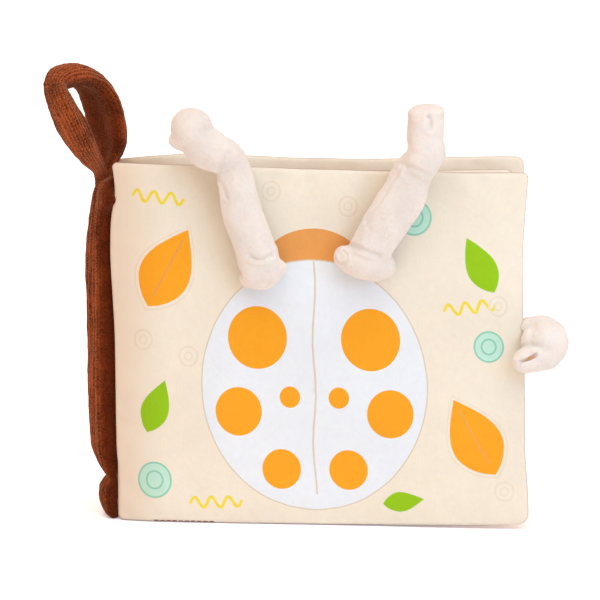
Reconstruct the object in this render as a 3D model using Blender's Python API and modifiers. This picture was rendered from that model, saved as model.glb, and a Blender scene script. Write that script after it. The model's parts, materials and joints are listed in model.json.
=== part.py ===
"""Soft crinkle book for a baby, standing fanned open on its lower edges.

Four padded cloth leaves are sewn to a plush spine with a hanging loop. The front cover
carries two knotted velour horns and a knotted tail. Metres, +Z up, leaves along +X,
front towards -Y. The origin is the middle of the spine's foot.
"""

import math

import bmesh
import bpy
from mathutils import Vector

# Front and back cover
COVER_WIDTH = 0.161
COVER_HEIGHT = 0.140
COVER_CORNER = 0.004
COVER_EDGE = 0.0011
COVER_CROWN = 0.0026
COVER_FABRIC = 0.0006
COVER_DRAW_IN = 0.0008

# Inner leaves
LEAF_WIDTH = 0.154
LEAF_HEIGHT = 0.134
LEAF_CORNER = 0.004
LEAF_EDGE = 0.0009
LEAF_CROWN = 0.0017
LEAF_FABRIC = 0.0005
LEAF_DRAW_IN = 0.0006

# What lies inside a leaf
WADDING_INSET = 0.007
FILM_THICKNESS = 0.00025
FILM_CREASE = 0.00025
FILM_OFFSET = 0.00035
FILM_INSET = 0.009

# Spine
SPINE_HEIGHT = 0.134
SPINE_DEPTH = 0.0212
SPINE_BULGE = 0.011
SPINE_SKIRT = 0.0031
SPINE_CORNER = 0.0025
SPINE_FABRIC = 0.0012
SPINE_RIB = 0.0004
SPINE_WADDING_GAP = 0.0010
LINING_THICKNESS = 0.001
LINING_INSET = 0.001
LINING_ROUNDING = 0.0003

# How the leaves are set on the spine
COVER_SPACING = 0.0249
LEAF_SPACING = 0.0084
HINGE_MARGIN = 0.001
COVER_HINGE_REACH = 0.0005
LEAF_HINGE_REACH = 0.0017
FRONT_COVER_YAW = math.radians(-5.5)
LEAF_2_YAW = math.radians(-3.5)
LEAF_3_YAW = math.radians(-1.0)
BACK_COVER_YAW = math.radians(1.0)

# Hanging loop
LOOP_REACH = 0.037
LOOP_WIDTH = 0.0155
LOOP_THICKNESS = 0.008
LOOP_TURN = math.radians(38)
LOOP_NECK = 0.0026
LOOP_SET_IN = 0.0035

# Horns, on the front cover
HORN_REACH = 0.058
HORN_RADIUS = 0.0070
HORN_KNOT = 0.0082
HORN_BALL = 0.0090
HORN_ROOT_LENGTH = 0.022
LEFT_HORN_PLACE = 0.0593
RIGHT_HORN_PLACE = 0.0951
HORN_HEIGHT = 0.1015
LEFT_ROOT_TILT = math.radians(22)
RIGHT_ROOT_TILT = math.radians(-20)

# Tail, in the front cover's fore-edge
TAIL_HEIGHT = 0.074
TAIL_RADIUS = 0.0060
TAIL_REACH = 0.0105
TAIL_KNOT = 0.0064

# Sewn pieces that touch keep this gap between their solids
CLEARANCE = 0.0003
MERGE = 0.00001

# Counts
COVER_CELLS = (8, 7)
LEAF_CELLS = (5, 5)
INNER_CELLS = (4, 4)
FILM_CELLS = (6, 5)
SPINE_CELLS = 12
SPINE_RIBS = 4
STRAP_SIDES = 12
STRAP_STEPS = 3
TUBE_STEPS = 2
TUBE_ARC_STEPS = 2
BALL_RINGS = 8
BALL_SIDES = 12

# Shares: height up the spine, and how far it bulges there
SPINE_BULGE_SHARES = (
    (0.000, 0.46), (0.030, 0.52), (0.076, 0.55), (0.114, 0.29), (0.150, 0.42),
    (0.216, 0.77), (0.300, 0.87), (0.400, 0.92), (0.550, 1.00), (0.700, 1.00),
    (0.850, 0.89), (0.930, 0.72), (0.970, 0.60), (0.988, 0.48), (1.000, 0.34),
)
# Shares of the tail's reach: place of the knot's middle, out, forward and up
TAIL_KNOT_SHARES = (0.74, -0.24, -0.30)
# Shares of the loop's reach: place along X, Y and Z above its neck
LOOP_PATH_SHARES = (
    (-0.060, -0.040, 0.015), (-0.150, -0.170, 0.160), (-0.240, -0.255, 0.310),
    (-0.340, -0.285, 0.520), (-0.450, -0.255, 0.760), (-0.500, -0.180, 0.900),
    (-0.450, -0.070, 0.985), (-0.320, 0.070, 0.990), (-0.170, 0.190, 0.880),
    (-0.075, 0.255, 0.700), (-0.020, 0.270, 0.480), (0.020, 0.205, 0.250),
    (0.020, 0.070, 0.030),
)
# Shares of the strap's width and thickness along the loop, from end to end
LOOP_SIZE_SHARES = (
    (0.00, 0.36, 0.50), (0.12, 0.78, 0.90), (0.25, 0.92, 1.00), (0.50, 0.95, 1.12),
    (0.75, 1.00, 1.00), (0.90, 0.82, 0.90), (1.00, 0.36, 0.50),
)
# Shares of a horn's reach: place along the cover and up it, and of the radius there
LEFT_HORN_SHARES = (
    (0.000, 0.000, 1.02), (-0.070, 0.150, 1.08), (-0.150, 0.330, 1.03),
    (-0.225, 0.530, 0.97), (-0.262, 0.730, 0.93), (-0.320, 0.870, 0.98),
    (-0.440, 0.930, 0.86),
)
LEFT_KNOT_SHARES = (-0.290, 0.850)
LEFT_BALL_SHARES = (-0.520, 0.960)
RIGHT_HORN_SHARES = (
    (0.000, 0.000, 1.00), (0.074, 0.140, 1.06), (0.180, 0.340, 1.04),
    (0.300, 0.560, 1.02), (0.400, 0.730, 1.16), (0.437, 0.800, 1.20),
    (0.436, 0.880, 0.88), (0.432, 0.960, 1.04), (0.430, 1.060, 1.06),
)
# Share of the radius at a horn's fullest part near its root
FULLEST_SHARE = 1.08
# Shares of the root's half length, and of the horn's radius there
ROOT_SHARES = ((-1.00, 0.42), (-0.75, 0.66), (0.00, 0.94), (0.75, 0.66), (1.00, 0.42))
# Shares of the tail's reach: out from the fore-edge, forward and up, and of the radius there
TAIL_SHARES = (
    (0.05, 0.00, 0.42, 0.14), (0.24, 0.00, 0.44, 0.28), (0.60, -0.02, 0.50, 0.72),
    (1.00, -0.06, 0.28, 1.00), (1.22, -0.10, -0.20, 1.00), (0.98, -0.36, -0.72, 0.96),
    (0.50, -0.78, -1.04, 0.90), (0.06, -0.98, -1.16, 0.80),
)
CORNER_STOP_SHARE = 0.3
PANEL_POWER = 6
RIB_FADE_POWER = 4
SPINE_SIDE_POWER = 2.6
END_POWER = 30
SMOOTH_ANGLE = math.radians(50)

# Edges of what carries what, worked out from the sizes above
SPINE_RIM = SPINE_SKIRT / 2
LINING_FACE = SPINE_RIM + CLEARANCE + LINING_THICKNESS
COVER_HINGE_X = SPINE_RIM + COVER_HINGE_REACH
LEAF_HINGE_X = LINING_FACE + LEAF_HINGE_REACH
HORN_AXIS = COVER_CROWN + CLEARANCE + CLEARANCE + HORN_RADIUS * FULLEST_SHARE


def clear_scene():
    for old in list(bpy.data.objects):
        bpy.data.objects.remove(old, do_unlink=True)


def new_collection(name):
    collection = bpy.data.collections.new(name)
    bpy.context.scene.collection.children.link(collection)
    return collection


def fabric(name, colour, roughness):
    material = bpy.data.materials.new(name)
    material.use_nodes = True
    shader = material.node_tree.nodes["Principled BSDF"]
    shader.inputs["Base Color"].default_value = (*colour, 1)
    shader.inputs["Roughness"].default_value = roughness
    shader.inputs["Metallic"].default_value = 0
    return material


def between(table, share):
    """The values of a table of shares at one share, straight between its rows."""
    for low, high in zip(table, table[1:]):
        if share <= high[0]:
            part = (share - low[0]) / (high[0] - low[0])
            return [a + (b - a) * part for a, b in zip(low[1:], high[1:])]
    return list(table[-1][1:])


def smooth_rows(rows, steps):
    """Rows of numbers with steps of a smooth curve between each two of them."""
    ends = [rows[0], *rows, rows[-1]]
    smooth = []
    for index in range(1, len(ends) - 2):
        before, start, end, after = (Vector(row) for row in ends[index - 1:index + 3])
        for step in range(steps):
            t = step / steps
            line = (start * 2 + (end - before) * t
                    + (before * 2 - start * 5 + end * 4 - after) * t ** 2
                    + (start * 3 - before - end * 3 + after) * t ** 3)
            smooth.append(tuple(line / 2))
    smooth.append(tuple(rows[-1]))
    return smooth


def side_stops(length, corner, cells):
    """Places along a side, close together in its two corners."""
    near = [0, corner * CORNER_STOP_SHARE, corner]
    middle = [corner + (length - 2 * corner) * step / cells for step in range(1, cells)]
    return near + middle + [length - place for place in reversed(near)]


def rounded(along, up, size, corner):
    """A place in a rectangle's net, drawn in where the corners are rounded."""
    over = []
    for place, length in zip((along, up), size):
        low, high = corner - place, place - (length - corner)
        over.append(-low if low > 0 else max(high, 0))
    if not (over[0] and over[1]):
        return along, up
    keep = 1 - max(abs(over[0]), abs(over[1])) / math.hypot(*over)
    return along - over[0] * keep, up - over[1] * keep


def net(name, stops, corner, rise, place, outward, rim):
    """A dome over a rounded rectangle, with a straight skirt down to its rim."""
    size = (stops[0][-1], stops[1][-1])
    counts = (len(stops[0]) - 1, len(stops[1]) - 1)
    bm = bmesh.new()
    bmesh.ops.create_grid(bm, x_segments=counts[0], y_segments=counts[1], size=1)
    for vert in bm.verts:
        along = stops[0][round((vert.co.x + 1) / 2 * counts[0])]
        up = stops[1][round((vert.co.y + 1) / 2 * counts[1])]
        height = rise(2 * along / size[0] - 1, 2 * up / size[1] - 1)
        vert.co = place(*rounded(along, up, size, corner), height)
    edges = [edge for edge in bm.edges if edge.is_boundary]
    grown = bmesh.ops.extrude_edge_only(bm, edges=edges)["geom"]
    drop = place(0, 0, rim) - place(0, 0, 0)
    across = drop.normalized() if rim else outward
    for vert in grown:
        if isinstance(vert, bmesh.types.BMVert):
            vert.co -= across * (vert.co.dot(across) - place(0, 0, rim).dot(across))
    bmesh.ops.recalc_face_normals(bm, faces=bm.faces)
    top = max(bm.faces, key=lambda face: abs(face.normal.dot(outward)) * face.calc_area())
    if top.normal.dot(outward) < 0:
        bmesh.ops.reverse_faces(bm, faces=bm.faces)
    mesh = bpy.data.meshes.new(name)
    bm.to_mesh(mesh)
    bm.free()
    return mesh


def close(mesh):
    """Closes a dome with a flat face at its rim."""
    bm = bmesh.new()
    bm.from_mesh(mesh)
    bmesh.ops.holes_fill(bm, edges=[edge for edge in bm.edges if edge.is_boundary], sides=0)
    bmesh.ops.recalc_face_normals(bm, faces=bm.faces)
    bm.to_mesh(mesh)
    bm.free()


def part(name, data, material, collection, parent=None):
    data.materials.append(material)
    item = bpy.data.objects.new(name, data)
    collection.objects.link(item)
    item.parent = parent
    if isinstance(data, bpy.types.Mesh):
        data.shade_smooth()
        data.set_sharp_from_angle(angle=SMOOTH_ANGLE)
    return item


def shell(item, thickness):
    wall = item.modifiers.new("Wall", "SOLIDIFY")
    wall.thickness = thickness
    wall.offset = -1
    return item


def hinge(name, along, across, yaw, collection):
    axis = bpy.data.objects.new(name, None)
    axis.location = (along, across, 0)
    axis.rotation_euler.z = yaw
    collection.objects.link(axis)
    return axis


def dome(edge, crown, power):
    """How far a padded panel rises, from its edge to its crown."""
    def rise(along, up):
        return edge + (crown - edge) * (1 - abs(along) ** power) * (1 - abs(up) ** power)
    return rise


def leaf_space(side, inset, margin):
    """A leaf's own space, from the hinge axis: along X, up Z, and out to one side."""
    def place(along, up, height):
        return Vector((along + inset - margin, side * height, up + inset))
    return place


def cloth_panel(name, side, size, corner, edge, crown, wall, draw_in, cells, bottom,
                material, collection, axis):
    """One padded face of a leaf, drawn in at the middle of its top and its fore-edge."""
    stops = [side_stops(length, corner, count) for length, count in zip(size, cells)]
    own = leaf_space(side, 0, HINGE_MARGIN)
    half_gap = CLEARANCE / 2
    rise = dome(edge + half_gap, crown + half_gap, PANEL_POWER)

    def place(along, up, height):
        shares = (along / size[0], up / size[1])
        bows = [1 - (2 * share - 1) ** 2 for share in shares]
        along -= draw_in * shares[0] * bows[1]
        up -= draw_in * shares[1] * bows[0]
        return own(along, up + bottom, height)
    mesh = net(name, stops, corner, rise, place, Vector((0, side, 0)), half_gap)
    return shell(part(name, mesh, material, collection, axis), wall)


def cover_wadding(name, side, material, collection, axis):
    """Wadding that follows the panel that it lies in, flat towards the film."""
    size = (COVER_WIDTH - 2 * WADDING_INSET, COVER_HEIGHT - 2 * WADDING_INSET)
    stops = [side_stops(length, COVER_CORNER, count) for length, count in zip(size, INNER_CELLS)]
    flat = FILM_THICKNESS / 2 + FILM_CREASE - FILM_OFFSET + CLEARANCE
    half_gap = CLEARANCE / 2
    panel = dome(COVER_EDGE + half_gap, COVER_CROWN + half_gap, PANEL_POWER)
    shares = (size[0] / COVER_WIDTH, size[1] / COVER_HEIGHT)

    def rise(along, up):
        return panel(along * shares[0], up * shares[1]) - COVER_FABRIC - CLEARANCE
    mesh = net(name, stops, COVER_CORNER, rise, leaf_space(side, WADDING_INSET, HINGE_MARGIN),
               Vector((0, side, 0)), flat)
    close(mesh)
    return part(name, mesh, material, collection, axis)


def crinkle_film(name, size, bottom, offset, material, collection, axis):
    """Thin film with creases across it, between the two panels of a leaf."""
    clear = [length - 2 * FILM_INSET for length in size]
    bm = bmesh.new()
    bmesh.ops.create_grid(bm, x_segments=FILM_CELLS[0], y_segments=FILM_CELLS[1], size=1)
    for vert in bm.verts:
        column = round((vert.co.x + 1) / 2 * FILM_CELLS[0])
        row = round((vert.co.y + 1) / 2 * FILM_CELLS[1])
        crease = FILM_CREASE * (1 if (column + row) % 2 else -1)
        along = (vert.co.x + 1) / 2 * clear[0] + FILM_INSET - HINGE_MARGIN
        up = (vert.co.y + 1) / 2 * clear[1] + FILM_INSET + bottom
        vert.co = (along, crease + offset, up)
    mesh = bpy.data.meshes.new(name)
    bm.to_mesh(mesh)
    bm.free()
    film = shell(part(name, mesh, material, collection, axis), FILM_THICKNESS)
    film.modifiers["Wall"].offset = 0
    return film


def cover(name, outer_side, across, yaw, materials, collection):
    axis = hinge(name + "_hinge", COVER_HINGE_X, across, yaw, collection)
    size = (COVER_WIDTH, COVER_HEIGHT)
    for face, side in (("outer", outer_side), ("inner", -outer_side)):
        cloth_panel(f"{name}_{face}", side, size, COVER_CORNER, COVER_EDGE, COVER_CROWN,
                    COVER_FABRIC, COVER_DRAW_IN, COVER_CELLS, 0, materials["cover_cloth"],
                    collection, axis)
    cover_wadding(name + "_wadding", outer_side, materials["wadding"], collection, axis)
    crinkle_film(name + "_crinkle_film", size, 0, -outer_side * FILM_OFFSET,
                 materials["film"], collection, axis)
    return axis


def inner_leaf(name, across, yaw, materials, collection):
    axis = hinge(name + "_hinge", LEAF_HINGE_X, across, yaw, collection)
    size = (LEAF_WIDTH, LEAF_HEIGHT)
    bottom = (COVER_HEIGHT - LEAF_HEIGHT) / 2
    for face, side in (("front", -1), ("back", 1)):
        cloth_panel(f"{name}_{face}", side, size, LEAF_CORNER, LEAF_EDGE, LEAF_CROWN,
                    LEAF_FABRIC, LEAF_DRAW_IN, LEAF_CELLS, bottom, materials["leaf_cloth"],
                    collection, axis)
    crinkle_film(name + "_crinkle_film", size, bottom, 0, materials["film"], collection, axis)
    return axis


def spine_net(name, inset, depth_inset):
    """The spine's bulged strip, or what fits inside it at an inset."""
    size = (SPINE_DEPTH - 2 * depth_inset, SPINE_HEIGHT - 2 * depth_inset)
    corner = SPINE_CORNER - depth_inset / 2
    rows = [0, corner * CORNER_STOP_SHARE, corner]
    heights = [share * SPINE_HEIGHT - depth_inset for share, bulge in SPINE_BULGE_SHARES]
    rows += [height for height in heights if corner < height < size[1] - corner]
    rows += [size[1] - row for row in (corner, corner * CORNER_STOP_SHARE, 0)]
    stops = (side_stops(size[0], corner, SPINE_CELLS), rows)

    def rise(along, up):
        share = ((up + 1) / 2 * size[1] + depth_inset) / SPINE_HEIGHT
        bulge = between(SPINE_BULGE_SHARES, share)[0] * SPINE_BULGE
        ribs = SPINE_RIB * math.cos(2 * math.pi * SPINE_RIBS * along)
        full = max(bulge - SPINE_SKIRT, 0) * (1 - abs(along) ** SPINE_SIDE_POWER)
        ends = 1 - abs(up) ** END_POWER
        fade = 1 - abs(along) ** RIB_FADE_POWER
        return SPINE_SKIRT - inset + (full + ribs * fade) * ends

    def place(along, up, height):
        return Vector((SPINE_RIM - height, along - size[0] / 2, up + depth_inset))
    return net(name, stops, corner, rise, place, Vector((-1, 0, 0)), 0)


def spine(materials, collection):
    plush = spine_net("spine_cover", 0, 0)
    shell(part("spine_cover", plush, materials["plush"], collection), SPINE_FABRIC)
    inset = SPINE_FABRIC + SPINE_WADDING_GAP
    filling = spine_net("spine_wadding", inset, inset)
    close(filling)
    part("spine_wadding", filling, materials["wadding"], collection)
    bpy.ops.mesh.primitive_cube_add(size=1)
    lining = bpy.context.object
    lining.name = lining.data.name = "spine_lining"
    for vert in lining.data.vertices:
        vert.co.x = LINING_FACE - LINING_THICKNESS * (vert.co.x < 0)
        vert.co.y *= SPINE_DEPTH - 2 * LINING_INSET
        vert.co.z = (vert.co.z + 1 / 2) * (SPINE_HEIGHT - 2 * LINING_INSET) + LINING_INSET
    for holder in list(lining.users_collection):
        holder.objects.unlink(lining)
    collection.objects.link(lining)
    lining.data.materials.append(materials["lining"])
    edges = lining.modifiers.new("Edges", "BEVEL")
    edges.width = LINING_ROUNDING
    edges.segments = 1


def loft(name, rings):
    """A closed skin through rings of points, with a flat cap on each end."""
    bm = bmesh.new()
    loops = [[bm.verts.new(point) for point in ring] for ring in rings]
    for low, high in zip(loops, loops[1:]):
        for index, vert in enumerate(low):
            bm.faces.new((low[index - 1], vert, high[index], high[index - 1]))
    bm.faces.new(loops[0])
    bm.faces.new(reversed(loops[-1]))
    bmesh.ops.recalc_face_normals(bm, faces=bm.faces)
    mesh = bpy.data.meshes.new(name)
    bm.to_mesh(mesh)
    bm.free()
    return mesh


def ball(name, centre, radii, cutters, parent):
    """A guide ball that a boolean joins to a soft piece."""
    bm = bmesh.new()
    bmesh.ops.create_uvsphere(bm, u_segments=BALL_SIDES, v_segments=BALL_RINGS, radius=1)
    for vert in bm.verts:
        vert.co = Vector(centre) + Vector([c * r for c, r in zip(vert.co, radii)])
    mesh = bpy.data.meshes.new(name)
    bm.to_mesh(mesh)
    bm.free()
    return guide(name, mesh, cutters, parent)


def guide(name, mesh, cutters, parent):
    item = bpy.data.objects.new(name, mesh)
    cutters.objects.link(item)
    item.parent = parent
    item.hide_render = True
    item.display_type = "WIRE"
    return item


def join(item, other):
    union = item.modifiers.new("Join " + other.name, "BOOLEAN")
    union.operation = "UNION"
    union.object = other


def hanging_loop(materials, collection, cutters):
    """A flat strap turned to show its face, with both ends gathered into one neck."""
    neck = Vector((SPINE_RIM - LOOP_SET_IN, 0, SPINE_HEIGHT + CLEARANCE + LOOP_NECK))
    axis = bpy.data.objects.new("hanging_loop_hinge", None)
    axis.location = neck
    collection.objects.link(axis)
    path = [Vector(row) * LOOP_REACH for row in smooth_rows(LOOP_PATH_SHARES, STRAP_STEPS)]
    broad = Vector((math.cos(LOOP_TURN), -math.sin(LOOP_TURN), 0))
    rings = []
    for index, centre in enumerate(path):
        ahead = path[min(index + 1, len(path) - 1)] - path[max(index - 1, 0)]
        width_share, thickness_share = between(LOOP_SIZE_SHARES, index / (len(path) - 1))
        flat = (broad - ahead * broad.dot(ahead) / ahead.length_squared).normalized()
        thin = ahead.cross(flat).normalized()
        ring = []
        for side in range(STRAP_SIDES):
            turn = 2 * math.pi * side / STRAP_SIDES
            ring.append(centre + flat * math.cos(turn) * LOOP_WIDTH * width_share / 2
                        + thin * math.sin(turn) * LOOP_THICKNESS * thickness_share / 2)
        rings.append(ring)
    strap = part("hanging_loop", loft("hanging_loop", rings), materials["plush"], collection, axis)
    join(strap, ball("loop_neck", (0, 0, 0), (LOOP_NECK,) * 3, cutters, axis))
    return strap


def tube_mesh(name, points, radii):
    """A round soft tube that swells and tapers, as a closed mesh."""
    curve = bpy.data.curves.new(name, "CURVE")
    curve.dimensions = "3D"
    curve.bevel_depth = 1
    curve.bevel_resolution = TUBE_ARC_STEPS
    curve.use_fill_caps = True
    spline = curve.splines.new("POLY")
    spline.points.add(len(points) - 1)
    for knot, point, radius in zip(spline.points, points, radii):
        knot.co = (*point, 1)
        knot.radius = radius
    guide_curve = bpy.data.objects.new(name + "_curve", curve)
    bpy.context.scene.collection.objects.link(guide_curve)
    bpy.context.view_layer.update()
    seen = guide_curve.evaluated_get(bpy.context.evaluated_depsgraph_get())
    mesh = bpy.data.meshes.new_from_object(seen)
    bpy.data.objects.remove(guide_curve)
    bm = bmesh.new()
    bm.from_mesh(mesh)
    bmesh.ops.remove_doubles(bm, verts=bm.verts, dist=MERGE)
    bmesh.ops.recalc_face_normals(bm, faces=bm.faces)
    bm.to_mesh(mesh)
    bm.free()
    mesh.materials.clear()
    return mesh


def horn(name, place, shares, tilt, lumps, materials, collection, cutters, cover_axis):
    """A knotted velour tube with a broad sewn root, which flops about that root."""
    root = bpy.data.objects.new(name + "_hinge", None)
    root.location = (place, -HORN_AXIS, HORN_HEIGHT)
    root.parent = cover_axis
    collection.objects.link(root)
    rows = smooth_rows(shares, TUBE_STEPS)
    points = [(along * HORN_REACH, 0, up * HORN_REACH) for along, up, size in rows]
    mesh = tube_mesh(name, points, [size * HORN_RADIUS for along, up, size in rows])
    item = part(name, mesh, materials["velour"], collection, root)
    half = HORN_ROOT_LENGTH / 2
    across = [(share * half * math.cos(tilt), 0, share * half * math.sin(tilt))
              for share, size in ROOT_SHARES]
    base = tube_mesh(name + "_root", across, [size * HORN_RADIUS for share, size in ROOT_SHARES])
    join(item, guide(name + "_root", base, cutters, root))
    for number, (along, up, radii) in enumerate(lumps):
        centre = (along * HORN_REACH, 0, up * HORN_REACH)
        join(item, ball(f"{name}_knot_{number}", centre, radii, cutters, root))
    return item


def tail_knot(materials, collection, cutters, cover_axis):
    """A short velour tube, pinched into the fore-edge seam, whose end curls to the front."""
    seam = bpy.data.objects.new("tail_knot_hinge", None)
    fore_edge = COVER_WIDTH - HINGE_MARGIN - COVER_DRAW_IN
    seam.location = (fore_edge + CLEARANCE, 0, TAIL_HEIGHT)
    seam.parent = cover_axis
    collection.objects.link(seam)
    rows = smooth_rows(TAIL_SHARES, TUBE_STEPS)
    points = [tuple(share * TAIL_REACH for share in row[:3]) for row in rows]
    mesh = tube_mesh("tail_knot", points, [row[3] * TAIL_RADIUS for row in rows])
    item = part("tail_knot", mesh, materials["velour"], collection, seam)
    centre = [share * TAIL_REACH for share in TAIL_KNOT_SHARES]
    join(item, ball("tail_lump", centre, (TAIL_KNOT,) * 3, cutters, seam))
    return item


def build():
    clear_scene()
    book = new_collection("crinkle_cloth_book")
    cutters = new_collection("guides")
    materials = {
        "plush": fabric("brown_plush", (0.16, 0.045, 0.02), 0.95),
        "velour": fabric("pale_velour", (0.88, 0.78, 0.72), 0.95),
        "cover_cloth": fabric("cream_cloth", (0.90, 0.77, 0.64), 0.9),
        "leaf_cloth": fabric("leaf_cloth", (0.86, 0.70, 0.56), 0.9),
        "lining": fabric("lining_cloth", (0.85, 0.72, 0.60), 0.9),
        "wadding": fabric("white_wadding", (0.9, 0.9, 0.88), 1.0),
        "film": fabric("crinkle_film", (0.8, 0.82, 0.85), 0.3),
    }
    spine(materials, book)
    hanging_loop(materials, book, cutters)
    front = cover("front_cover", -1, -COVER_SPACING / 2, FRONT_COVER_YAW, materials, book)
    inner_leaf("leaf_2", -LEAF_SPACING / 2, LEAF_2_YAW, materials, book)
    inner_leaf("leaf_3", LEAF_SPACING / 2, LEAF_3_YAW, materials, book)
    cover("back_cover", 1, COVER_SPACING / 2, BACK_COVER_YAW, materials, book)
    left_lumps = (
        (*LEFT_KNOT_SHARES, (HORN_KNOT, HORN_RADIUS, HORN_KNOT)),
        (*LEFT_BALL_SHARES, (HORN_BALL, HORN_RADIUS, HORN_BALL)),
    )
    horn("left_horn", LEFT_HORN_PLACE, LEFT_HORN_SHARES, LEFT_ROOT_TILT, left_lumps,
         materials, book, cutters, front)
    horn("right_horn", RIGHT_HORN_PLACE, RIGHT_HORN_SHARES, RIGHT_ROOT_TILT, (),
         materials, book, cutters, front)
    tail_knot(materials, book, cutters, front)


build()
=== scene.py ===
"""Looks of the soft book: padded printed leaves, a plush spine with its loop, and
knotted velour pieces. Lengths in the tables are in millimetres, and MM turns them to metres."""

import json
import math

import bmesh
import bpy
import numpy as np
from mathutils import Matrix, Vector, noise
from mathutils.geometry import delaunay_2d_cdt

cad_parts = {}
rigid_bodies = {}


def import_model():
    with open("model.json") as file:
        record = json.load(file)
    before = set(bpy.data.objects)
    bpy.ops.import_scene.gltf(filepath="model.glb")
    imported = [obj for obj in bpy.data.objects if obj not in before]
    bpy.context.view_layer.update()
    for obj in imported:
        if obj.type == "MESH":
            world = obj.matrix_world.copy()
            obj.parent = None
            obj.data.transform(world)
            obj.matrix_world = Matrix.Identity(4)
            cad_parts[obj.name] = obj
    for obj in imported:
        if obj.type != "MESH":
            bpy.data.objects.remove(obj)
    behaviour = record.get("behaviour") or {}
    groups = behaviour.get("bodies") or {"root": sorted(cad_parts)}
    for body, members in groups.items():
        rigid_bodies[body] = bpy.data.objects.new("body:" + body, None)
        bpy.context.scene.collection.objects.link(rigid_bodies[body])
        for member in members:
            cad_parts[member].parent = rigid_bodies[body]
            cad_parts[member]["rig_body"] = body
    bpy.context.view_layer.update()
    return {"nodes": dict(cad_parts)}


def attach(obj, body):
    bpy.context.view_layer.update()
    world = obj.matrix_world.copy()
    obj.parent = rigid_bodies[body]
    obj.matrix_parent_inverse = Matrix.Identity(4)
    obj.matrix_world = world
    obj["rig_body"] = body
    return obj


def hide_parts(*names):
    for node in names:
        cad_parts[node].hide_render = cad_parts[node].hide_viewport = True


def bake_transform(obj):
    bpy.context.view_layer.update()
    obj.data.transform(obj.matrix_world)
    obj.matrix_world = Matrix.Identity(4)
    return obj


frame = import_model()

MM = 0.001

# Camera, level with the middle of the front cover and a little above it
FRAME_PIXELS = 600
SENSOR = 36.0
LENS = 200.5
EYE_DISTANCE = 1.3
EYE_ELEVATION = math.radians(9)
TARGET = Vector((0.0734, -0.012, 0.0874))
AHEAD = Vector((0, math.cos(EYE_ELEVATION), -math.sin(EYE_ELEVATION)))
UPWARD = Vector((0, math.sin(EYE_ELEVATION), math.cos(EYE_ELEVATION)))
EYE = TARGET - AHEAD * EYE_DISTANCE

# Light: a warm world, area lights by place, aim, side, power and colour, and a wide sun
WORLD_COLOUR = (1.0, 0.64, 0.42, 1)
WORLD_STRENGTH = 0.79
LIGHTS = {
    "key": ((0.42, -0.55, 0.32), (0.1, 0, 0.09), 0.35, 1.5, (0.36, 0.68, 1)),
    "side": ((0.95, -1.0, 0.45), (0.12, 0, 0.07), 0.5, 1.1, (0.6, 0.82, 1)),
    "back": ((-0.5, 1.4, 0.7), (0.07, 0, 0.07), 0.8, 5.5, (0.78, 0.9, 1)),
    "fill": ((-1.3, 0.1, 0.45), (0, 0, 0.07), 0.6, 0.9, (1, 0.9, 0.8)),
}
OVERHEAD = dict(energy=1.95, color=(0.8, 0.92, 1), angle=math.radians(60))
OVERHEAD_LEAN = math.radians(24)

# Floor: half its side and its drop below the book in metres, and its paper
FLOOR_HALF = 15
FLOOR_DROP = 0.0003
FLOOR_GLOW = 0.24
PAPER = {"Base Color": (0.97, 0.97, 0.975, 1), "Roughness": 0.55, "Specular IOR Level": 0.25,
         "Emission Color": (0.98, 0.93, 1, 1)}

# Leaves: width and height, foot, half thickness at the edge and crown, how far the sides are
# drawn in, hinge place, turn, corner radii, noise seed, and bend to the back at the spine
MARGIN = 1.0
COVER_SIZES = dict(size=(161, 140), foot=0, edge=1.25, crown=2.85, draw_in=0.8)
LEAF_SIZES = dict(size=(154, 134), foot=3, edge=1.05, crown=1.95, draw_in=0.6)
LEAVES = {
    "front_cover": dict(COVER_SIZES, hinge=(2.05, -12.45), yaw=-5.5,
                        corners=(2.5, 4.6, 2.0, 2.2), seed=3, toward=1.0),
    "leaf_2": dict(LEAF_SIZES, hinge=(4.55, -4.2), yaw=-3.5, corners=(3, 4, 4, 3), seed=5,
                   toward=0.25),
    "leaf_3": dict(LEAF_SIZES, hinge=(4.55, 4.2), yaw=-1.0, corners=(3, 4, 4, 3), seed=7,
                   toward=-0.25),
    "back_cover": dict(COVER_SIZES, hinge=(2.05, 12.45), yaw=1.0,
                       corners=(2.5, 4.2, 3.6, 2.2), seed=9, toward=-1.0),
}
# Where a cover's edges leave the plain shape: a share along the edge, and how far it moves
EDGES = {
    "front_cover": dict(
        top=[(0, 1.3), (0.25, 1.0), (0.5, 0.4), (0.8, -0.5), (1, -1.0)],
        foot=[(0, 0), (0.4, 0), (0.7, 0.5), (1, 1.5)],
        fore=[(0, 0.7), (0.08, 0.8), (0.25, -0.3), (0.4, -0.3), (0.55, -1.0), (0.65, -1.5),
              (0.8, -1.8), (0.9, -1.2), (1, -0.7)],
        hinge=[(0, 1.0), (0.13, 1.2), (0.22, 0.3), (0.5, 0), (0.62, -0.7), (0.74, -1.5),
               (0.84, -1.1), (0.92, 0.5), (1, -0.7)]),
    "back_cover": dict(
        top=[(0, 0), (0.1, 1.4), (0.2, 2.3), (0.4, 1.2), (0.6, 0.4), (0.8, 0.7), (1, 0.5)],
        foot=[(0, 0), (1, 0)], fore=[(0, 0), (0.5, -0.4), (1, 0)], hinge=[(0, 0), (1, 0)]),
}
# Cloth: thickness, gap in the seam, rounding and fade at the rim, and puff of the simulation
FABRIC = 0.5
SEAM_GAP = 0.06
EDGE_ROUND = 1.5
RIM_FADE = 3
PUFF = 1.9
PUFF_CELL = 3.8
BLOW = dict(quality=6, mass=0.15, tension_stiffness=15, compression_stiffness=15,
            shear_stiffness=5, bending_stiffness=0.5, use_pressure=True,
            uniform_pressure_force=4, vertex_group_mass="rim", shrink_min=-0.008)
BLOW_FRAMES = 20
BLOW_SPREAD = 0.3
PANEL_PULL = 0.3
FABRIC_FADE = 0.6
HINGE_REACH = 14
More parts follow.
